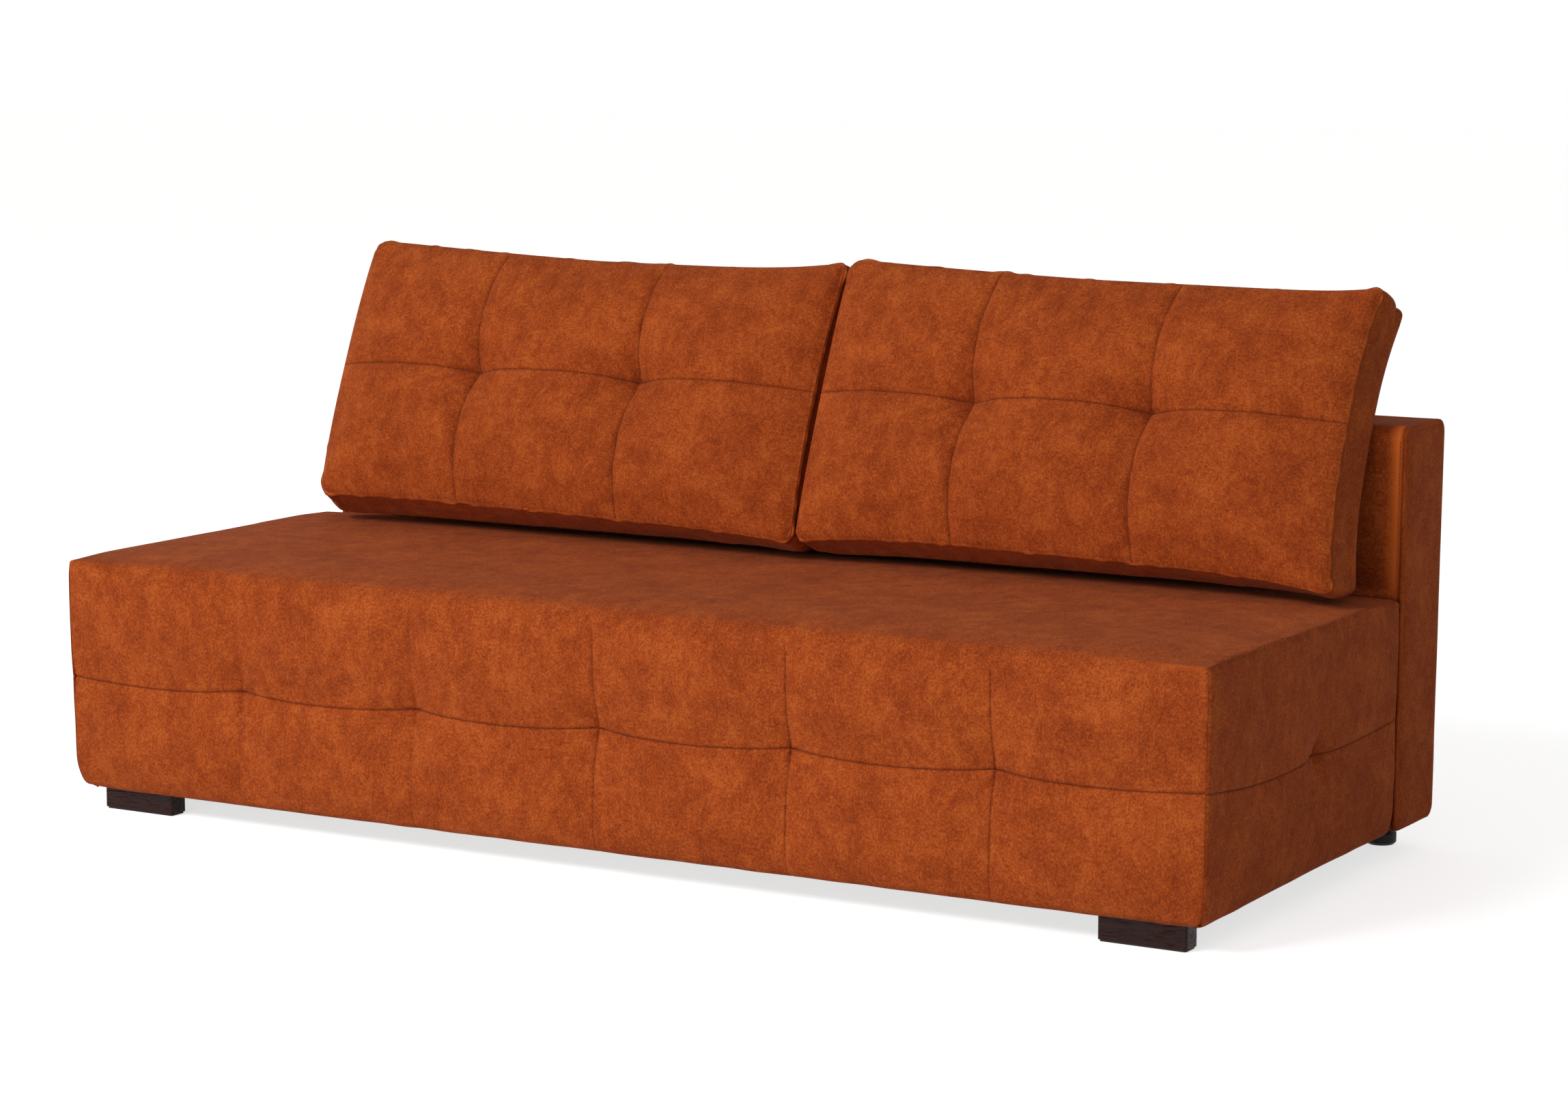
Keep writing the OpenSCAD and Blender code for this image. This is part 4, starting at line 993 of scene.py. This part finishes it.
# The cushions' rear sheet just clears the rounded top edge of the back
LEAN = ((back_low.y + BACK_R) * math.cos(TILT) - (back_high.z - BACK_R) * math.sin(TILT)
        - BACK_R - REST_GAP - REAR_CROWN)
FOOT_Y = (LEAN + FOOT_Z * math.sin(TILT)) / math.cos(TILT)
SHOULDER, SHOULDER_REACH = 0.015, 0.013
CROWN = 0.031
PILLOW, PILLOW_REACH = 0.0055, 0.020
TUFT = 0.030
TUFT_WELL = (0.62, 0.048, 0.034)
TUFT_FOLDS = (0.14, 0.12)
TUFT_RIPPLE = (0.0015, 0.040, 0.026)
UNEVEN, UNEVEN_SIZE = 0.0030, 0.13
REAR_LOW, REAR_ARCH, REAR_TOP_IN = 0.009, 0.006, 0.003
BAND_WAVE, BAND_WAVE_SIZE = 0.0024, 0.055
FINE_WAVE, FINE_WAVE_SIZE = 0.0006, 0.03
PINCH, PINCH_REACH = 0.0036, 0.0022
BEAD, BEAD_AT, GROOVE_AT = 0.0026, 0.0012, 0.0060
TUFT_SHARES = (0.303, 0.643)
SEAM_UP = 0.246
FRONT_V, REAR_V, BAND_V = 1.5, 3.5, 6.0
BAND_SHARES = (0.010, 0.03, 0.06, 0.12, 0.20, 0.30, 0.40, 0.50, 0.60, 0.70, 0.80, 0.88, 0.94, 0.98)
PRESSURE = 4.0
SLACK = -0.012
CLOTH_FRAMES = 20
MOST_MOVE, MOST_BAND_MOVE = 0.024, 0.004
START_FILL = 0.80
FIRM_SEAM, FIRM_TUFT = 0.007, 0.020


def stand(p):
    """Points of a cushion in its own frame (across, out of its front, up) moved to their leaning place."""
    across, out, up = p[..., 0], p[..., 1], p[..., 2]
    y = FOOT_Y - out * math.cos(TILT) + up * math.sin(TILT)
    z = FOOT_Z + out * math.sin(TILT) + up * math.cos(TILT)
    return np.stack([across, y, z], -1)


def bow(share, power):
    """1 in the middle of an edge and 0 at its ends."""
    return 1 - np.abs(2 * share - 1) ** power


class Cushion:
    """One loose cushion. Its edges draw in between the corners, by amounts that differ from edge to edge.

    ends: how far its left and right corners lie past its node's. pulls: how far those edges draw in.
    feet, tops: heights of its lower and upper corners. arch, dip: how far the edges between them
    draw in. dip_power: how soon the dip sets in, left and right. spread: flare of the rear's left foot.
    """

    def __init__(self, name, node, seed, ends, pulls, feet, arch, tops, dip, dip_power, spread=0.0):
        self.name, self.node, self.spread = name, node, spread
        low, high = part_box(node)
        self.left, self.right = low.x + ends[0], high.x + ends[1]
        self.width = self.right - self.left
        self.height = SEAM_UP * 2
        self.pulls, self.feet, self.arch = pulls, feet, arch
        self.tops, self.dip, self.dip_power = tops, dip, dip_power
        rng = random.Random(seed)
        self.noise = Noise(seed)
        self.tufts = [(share, rng.uniform(0, 6.28), rng.uniform(0.92, 1.08)) for share in TUFT_SHARES]

    def outline(self, s, t, rear=False):
        """Across and up of a place on the front or rear sheet."""
        left = self.left + self.pulls[0] * bow(t, 2.6)
        right = self.right - self.pulls[1] * bow(t, 2.6)
        power = np.where(s < 0.5, self.dip_power[0], self.dip_power[1])
        top = self.tops[0] * (1 - s) + self.tops[1] * s - self.dip * bow(s, power)
        low = self.feet[0] * (1 - s) + self.feet[1] * s + self.arch * bow(s, 4)
        if rear:
            top = top - REAR_TOP_IN
            low = REAR_LOW + REAR_ARCH * bow(s, 4)
            left = left - self.spread * (1 - t) ** 2
        corner = CORNER_ROUND * np.abs(2 * s - 1) ** 40 * np.abs(2 * t - 1) ** 24
        x = left + (right - left) * s - np.sign(s - 0.5) * corner
        return x, low + (top - low) * t - np.sign(t - 0.5) * corner

    def seam_share(self, s):
        """Share up the front at which the level seam lies."""
        low = self.outline(s, np.zeros_like(s))[1]
        top = self.outline(s, np.ones_like(s))[1]
        return (SEAM_UP - low) / (top - low)

    def front(self, s, t, edge, fill):
        x, z = self.outline(s, t)
        whole = bow(s, 3.2) * bow(t, 2.8)
        out = BAND + SHOULDER * (1 - fade(edge, SHOULDER_REACH)) + CROWN * whole * fill
        out = out + UNEVEN * self.noise(x, z, 1.0, UNEVEN_SIZE) * smooth(whole * 4)
        inside = smooth(edge / 0.03)
        for gap in [(s - share) * self.width for share in TUFT_SHARES] + [z - SEAM_UP]:
            out = out - PILLOW * bell(gap, PILLOW_REACH) * inside
        for share, turn, size in self.tufts:
            well, fold, ripple = gathered((s - share) * self.width, z - SEAM_UP, turn, *TUFT_WELL,
                                          *TUFT_FOLDS, *TUFT_RIPPLE)
            out = out - TUFT * size * well * fold + ripple
        return np.stack([x, out, z], -1)

    def rear(self, s, t):
        x, z = self.outline(s, t, True)
        return np.stack([x, -REAR_CROWN * bow(s, 6) * bow(t, 6), z], -1)


def which_side(share):
    """-1 at the start of an edge, 1 at its end and 0 between."""
    return np.sign(share - 0.5) * (min(share, 1 - share) < 1e-6)


def cushion_mesh(c, fill):
    """A cushion's closed mesh, with how firmly each point is held and how far it may move."""
    s_line = spaced([0, *[w * c.width for w in TUFT_SHARES], c.width], 4 * MM, 10 * MM, 0.03) / c.width
    t_line = spaced([0, SEAM_UP, c.height], 4 * MM, 10 * MM, 0.03) / c.height
    s, q = np.meshgrid(s_line, t_line, indexing="ij")
    seam = c.seam_share(s)
    t = np.where(q < 0.5, q * 2 * seam, seam + (q - 0.5) * 2 * (1 - seam))
    edge = np.minimum(np.minimum(s, 1 - s) * c.width, np.minimum(t, 1 - t) * c.height)
    front, rear = c.front(s, t, edge, fill), c.rear(s, t)
    uv = np.stack([s * c.width, t * c.height + FRONT_V], -1)
    patch = Patch()
    n_front = patch.grid(front, uv, flip=True)
    n_rear = patch.grid(rear, uv + (0, REAR_V - FRONT_V))
    ring_f, places = rim(n_front)
    ring_r, _ = rim(n_rear)
    rim_front = np.array([front[p] for p in places])
    rim_rear = np.array([rear[p] for p in places])
    sides = unit(np.array([[which_side(s[p]), 0, which_side(t[p])] for p in places], float))
    run = np.concatenate([[0], np.cumsum(np.linalg.norm(np.diff(rim_front, axis=0), axis=1))])
    near_seam = np.minimum(np.abs(t - seam) * c.height,
                           np.minimum(*[np.abs(s - w) * c.width for w in TUFT_SHARES]))
    near_tuft = np.minimum(*[np.hypot((s - w) * c.width, (t - seam) * c.height) for w in TUFT_SHARES])
    firm = 0.22 * bell(near_seam, FIRM_SEAM) + 0.9 * bell(near_tuft, FIRM_TUFT)
    firm = np.maximum(firm, bell(edge, FIRM_SEAM))
    hold = [np.clip(firm, 0, 1).ravel(), np.ones(s.size)]
    limit = [np.full(2 * s.size, MOST_MOVE)]
    beside = np.array([min(s[p], 1 - s[p]) * c.width + min(t[p], 1 - t[p]) * c.height for p in places])
    top_corner = np.array([t[p] for p in places]) * bell(beside, NOTCH_WIDE)
    last, last_uv = ring_f, [(r, BAND_V) for r in run]
    for share in BAND_SHARES:
        notch = NOTCH * math.exp(-((share - NOTCH_SHARE) / 0.10) ** 2) * top_corner
        proud = BAND_SWELL * (1 - abs(2 * share - 1) ** 3) - notch
        wave = BAND_WAVE * c.noise(run, share * 0.3, 5.0, BAND_WAVE_SIZE) * math.sin(math.pi * share)
        row = rim_front * (1 - share) + rim_rear * share + sides * (proud + wave)[:, None]
        start = patch.add_points(row)
        ring, ring_uv = list(range(start, start + len(row))), [(r, share * BAND + BAND_V) for r in run]
        patch.band(ring, last, ring_uv, last_uv)
        hold.append(np.full(len(row), max(0.05, 2 * share - 1)))
        limit.append(np.full(len(row), MOST_BAND_MOVE))
        last, last_uv = ring, ring_uv
    patch.band(ring_r, last, [(r, BAND_V + BAND) for r in run], last_uv)
    return patch, np.concatenate(hold), np.concatenate(limit)


def swell(obj, hold, limit):
    """Fills a cushion by cloth simulation and keeps the result in its mesh."""
    start = read(obj.data.vertices, "co", 3)
    group = obj.vertex_groups.new(name="held")
    for level in np.unique(np.round(hold, 2)):
        if level > 0:
            held = np.nonzero(np.round(hold, 2) == level)[0]
            group.add(held.tolist(), float(level), "REPLACE")
    m = obj.modifiers.new("cloth", "CLOTH")
    cloth = m.settings
    cloth.quality = 5
    cloth.mass = 0.35
    cloth.use_pressure = True
    cloth.uniform_pressure_force = PRESSURE
    cloth.tension_stiffness = cloth.compression_stiffness = 18
    cloth.shear_stiffness = 6
    cloth.bending_stiffness = 0.6
    cloth.shrink_min = SLACK
    cloth.vertex_group_mass = "held"
    cloth.pin_stiffness = 1.0
    cloth.effector_weights.gravity = 0
    m.collision_settings.use_collision = False
    m.point_cache.frame_end = CLOTH_FRAMES
    scene = bpy.context.scene
    for f in range(1, CLOTH_FRAMES + 1):
        scene.frame_set(f)
    graph = bpy.context.evaluated_depsgraph_get()
    move = read(obj.evaluated_get(graph).data.vertices, "co", 3) - start
    obj.modifiers.clear()
    obj.vertex_groups.clear()
    scene.frame_set(1)
    far = np.linalg.norm(move, axis=1, keepdims=True)
    move *= np.minimum(1, limit[:, None] / np.maximum(far, 1e-9))
    obj.data.vertices.foreach_set("co", (start + move).ravel())
    obj.data.update()


def refine(obj):
    """One smooth subdivision, kept in the mesh."""
    m = obj.modifiers.new("smooth", "SUBSURF")
    m.levels = m.render_levels = 1
    apply_modifiers(obj)


def cloth_places(mesh):
    """Each point's place in the cloth, from the UV layer."""
    uv = read(mesh.uv_layers[0].data, "uv", 2)
    corner = read(mesh.loops, "vertex_index", 1).astype(int).ravel()
    place = np.zeros((len(mesh.vertices), 2))
    lowest = np.argsort(-uv[:, 1], kind="stable")
    place[corner[lowest]] = uv[lowest]
    return place


def sew(obj, c):
    """Pinches the seams into a filled cushion and stands it in its place."""
    mesh = obj.data
    points, normals = read(mesh.vertices, "co", 3), read(mesh.vertices, "normal", 3)
    place = cloth_places(mesh)
    u, v = place[:, 0], place[:, 1] - FRONT_V
    on_front = (v > -0.01) & (v < c.height + 0.01)
    share = np.clip(u / c.width, 0, 1)
    seam_v = c.seam_share(share) * c.height
    edge = np.minimum(np.minimum(u, c.width - u), np.minimum(v, c.height - v))
    drop = np.zeros(len(points))
    for gap in [u - w * c.width for w in TUFT_SHARES] + [v - seam_v]:
        drop += PINCH * fade(np.abs(gap), PINCH_REACH) * smooth(edge / 0.012)
    drop += FINE_WAVE * c.noise(u, v, 7.0, FINE_WAVE_SIZE) * smooth(edge / 0.02)
    drop = np.where(on_front, drop, 0)
    along = place[:, 1] - BAND_V
    on_band = along > -0.001
    drop = np.where(on_band, BEAD * (bell(along - GROOVE_AT, 0.003) - bell(along - BEAD_AT, 0.0020)), drop)
    # Painted shade along the front's seams and in the groove beside each welt, and a painted highlight on
    # the welt's bead
    gaps = [np.abs(u - w * c.width) for w in TUFT_SHARES] + [np.abs(v - seam_v)]
    groove_shadow = np.where(on_band, bell(along - 0.0050, 0.0022), 0)
    mark(obj, "seam", np.where(on_front, seam_shadow_line(np.minimum.reduce(gaps)), groove_shadow))
    mark(obj, "painted_highlight", np.where(on_band, bell(along - BEAD_AT, 0.0026), 0))
    placed = stand(points - normals * drop[:, None])
    resting = SEAT_TOP + REST_GAP + top_lift(placed[:, 0], placed[:, 1])
    placed[:, 2] = np.maximum(placed[:, 2], resting)
    mesh.vertices.foreach_set("co", placed.ravel())
    mesh.update()


def cushion_object(c):
    patch, hold, limit = cushion_mesh(c, START_FILL)
    obj = patch.object(c.name)
    swell(obj, hold, limit)
    refine(obj)
    sew(obj, c)
    obj.data.polygons.foreach_set("use_smooth", [True] * len(obj.data.polygons))
    upholster(obj, c.node, [c.node])


CLOTH = velour("rust_velour")
THREAD = thread_material()

seat_cover()
side_cover(1, "side_cover_right", "side_pad_right")
side_cover(-1, "side_cover_left", "side_pad_left")
back_cover()
left_cushion = Cushion(
    "left_cushion", "cushion_left", 31, ends=(-0.010, 0.005), pulls=(-0.011, 0.014),
    feet=(0.015, -0.005), arch=0.010, tops=(0.472, 0.467), dip=0.0185, dip_power=(1.2, 5), spread=0.024)
right_cushion = Cushion(
    "right_cushion", "cushion_right", 47, ends=(0.001, -0.0015), pulls=(-0.006, 0.022),
    feet=(-0.001, -0.018), arch=0.021, tops=(0.472, 0.463), dip=0.0135, dip_power=(1.4, 9))
for spec in (left_cushion, right_cushion):
    cushion_object(spec)


# Finishes of the frame's own pieces

FINISHES = {
    "tube_steel": metal("black_powder_coat", (0.022, 0.022, 0.024), 0.45, True),
    "plate_steel": metal("plated_plate", (0.50, 0.50, 0.49), 0.32, False),
    "zinc_steel": metal("bright_zinc", (0.66, 0.67, 0.68), 0.22, False),
    "black_plastic": plastic("black_plastic", (0.006, 0.0055, 0.005), 0.5),
    "black_rubber": plastic("black_rubber", (0.008, 0.0075, 0.007), 0.7),
    "chipboard": chipboard(),
    "pine": wood("pine", (0.42, 0.24, 0.10), (0.66, 0.46, 0.24), (0.45, 0.7)),
    "birch_slat": wood("birch_slat", (0.50, 0.33, 0.16), (0.72, 0.54, 0.32), (0.35, 0.6), "Y"),
    "foam": foam(),
    "rust_velour": CLOTH,
    "dark_wood": wood("dark_wood", (0.014, 0.0042, 0.0032), (0.034, 0.0105, 0.0080), (0.45, 0.6)),
    "felt": plastic("felt", (0.020, 0.018, 0.016), 0.9, 1500.0),
    "white_nylon": plastic("white_nylon", (0.72, 0.72, 0.70), 0.4),
    "webbing": webbing(),
}
for part in frame["record"]["subparts"]:
    node = frame["nodes"][part["node"]]
    node.data.materials.clear()
    node.data.materials.append(FINISHES[part["material_slot"]])


# Floor, light and camera

def seen_directly(m):
    """1 for rays from the camera, and for those that gloss or glass sends on."""
    path = m.add("ShaderNodeLightPath")
    total = path.outputs["Is Camera Ray"]
    for kind in ("Is Glossy Ray", "Is Transmission Ray"):
        total = m.math("ADD", total, path.outputs[kind], clamp=True)
    return total


def floor():
    m = Nodes("pale_floor")
    speckle = m.noise(m.coordinates("Object"), 30.0, 4.0, 0.6)
    colour = m.ramp(speckle, [(0.3, (0.80, 0.80, 0.80)), (0.7, (0.84, 0.84, 0.84))])
    m.finish(colour, 0.85)
    hidden, glow = [m.add("ShaderNodeEmission", {"Strength": s}).outputs[0] for s in (0.0, 0.68)]
    seen = m.add("ShaderNodeMixShader", {0: seen_directly(m), 1: hidden, 2: glow}).outputs[0]
    both = m.add("ShaderNodeAddShader", {0: m.shader.outputs[0], 1: seen})
    m.link(both.outputs[0], m.tree.nodes["Material Output"].inputs["Surface"])
    size = 30.0
    plane = new_mesh("floor", [(-size, -size, 0), (size, -size, 0), (size, size, 0), (-size, size, 0)],
                     [[0, 1, 2, 3]], smooth_shade=False)
    plane.data.materials.append(m.made)


def world():
    m = Nodes("studio", bpy.data.worlds)
    bpy.context.scene.world = m.made
    light, white = [m.add("ShaderNodeBackground", {"Color": colour, "Strength": strength}).outputs[0]
                    for colour, strength in (((1.0, 0.985, 0.97, 1), 0.30), ((1, 1, 1, 1), 1.0))]
    seen = m.add("ShaderNodeMixShader", {0: seen_directly(m), 1: light, 2: white})
    m.link(seen.outputs[0], m.tree.nodes["World Output"].inputs["Surface"])


def aimed(name, data, at, way):
    """A lamp or a camera at a place, looking one way."""
    obj = bpy.data.objects.new(name, data)
    bpy.context.scene.collection.objects.link(obj)
    obj.location = at
    obj.rotation_mode = "QUATERNION"
    obj.rotation_quaternion = way.to_track_quat("-Z", "Y")
    return obj


def lamp(name, at, target, size, watts):
    data = bpy.data.lights.new(name, "AREA")
    data.shape, data.size, data.size_y = "RECTANGLE", size[0], size[1]
    data.energy = watts
    aimed(name, data, at, Vector(target) - Vector(at))


def camera():
    data = bpy.data.cameras.new("camera")
    data.sensor_width = SENSOR_MM
    data.lens = CAMERA_FOCAL_PX * SENSOR_MM / PHOTO_W
    data.clip_end = 100
    a, e = math.radians(CAMERA_AZIMUTH), math.radians(CAMERA_ELEVATION)
    back = Vector((math.sin(a) * math.cos(e), -math.cos(a) * math.cos(e), math.sin(e)))
    bpy.context.scene.camera = aimed("camera", data, CAMERA_AT, -back)


floor()
world()
lamp("key", (-2.6, -6.0, 5.0), (0.0, -0.2, 0.4), (3.2, 2.2), 310)
lamp("fill", (-0.2, -5.2, 0.70), (0.0, 0.0, 0.5), (3.0, 0.8), 56)
camera()
bpy.context.scene.view_settings.view_transform = "Standard"
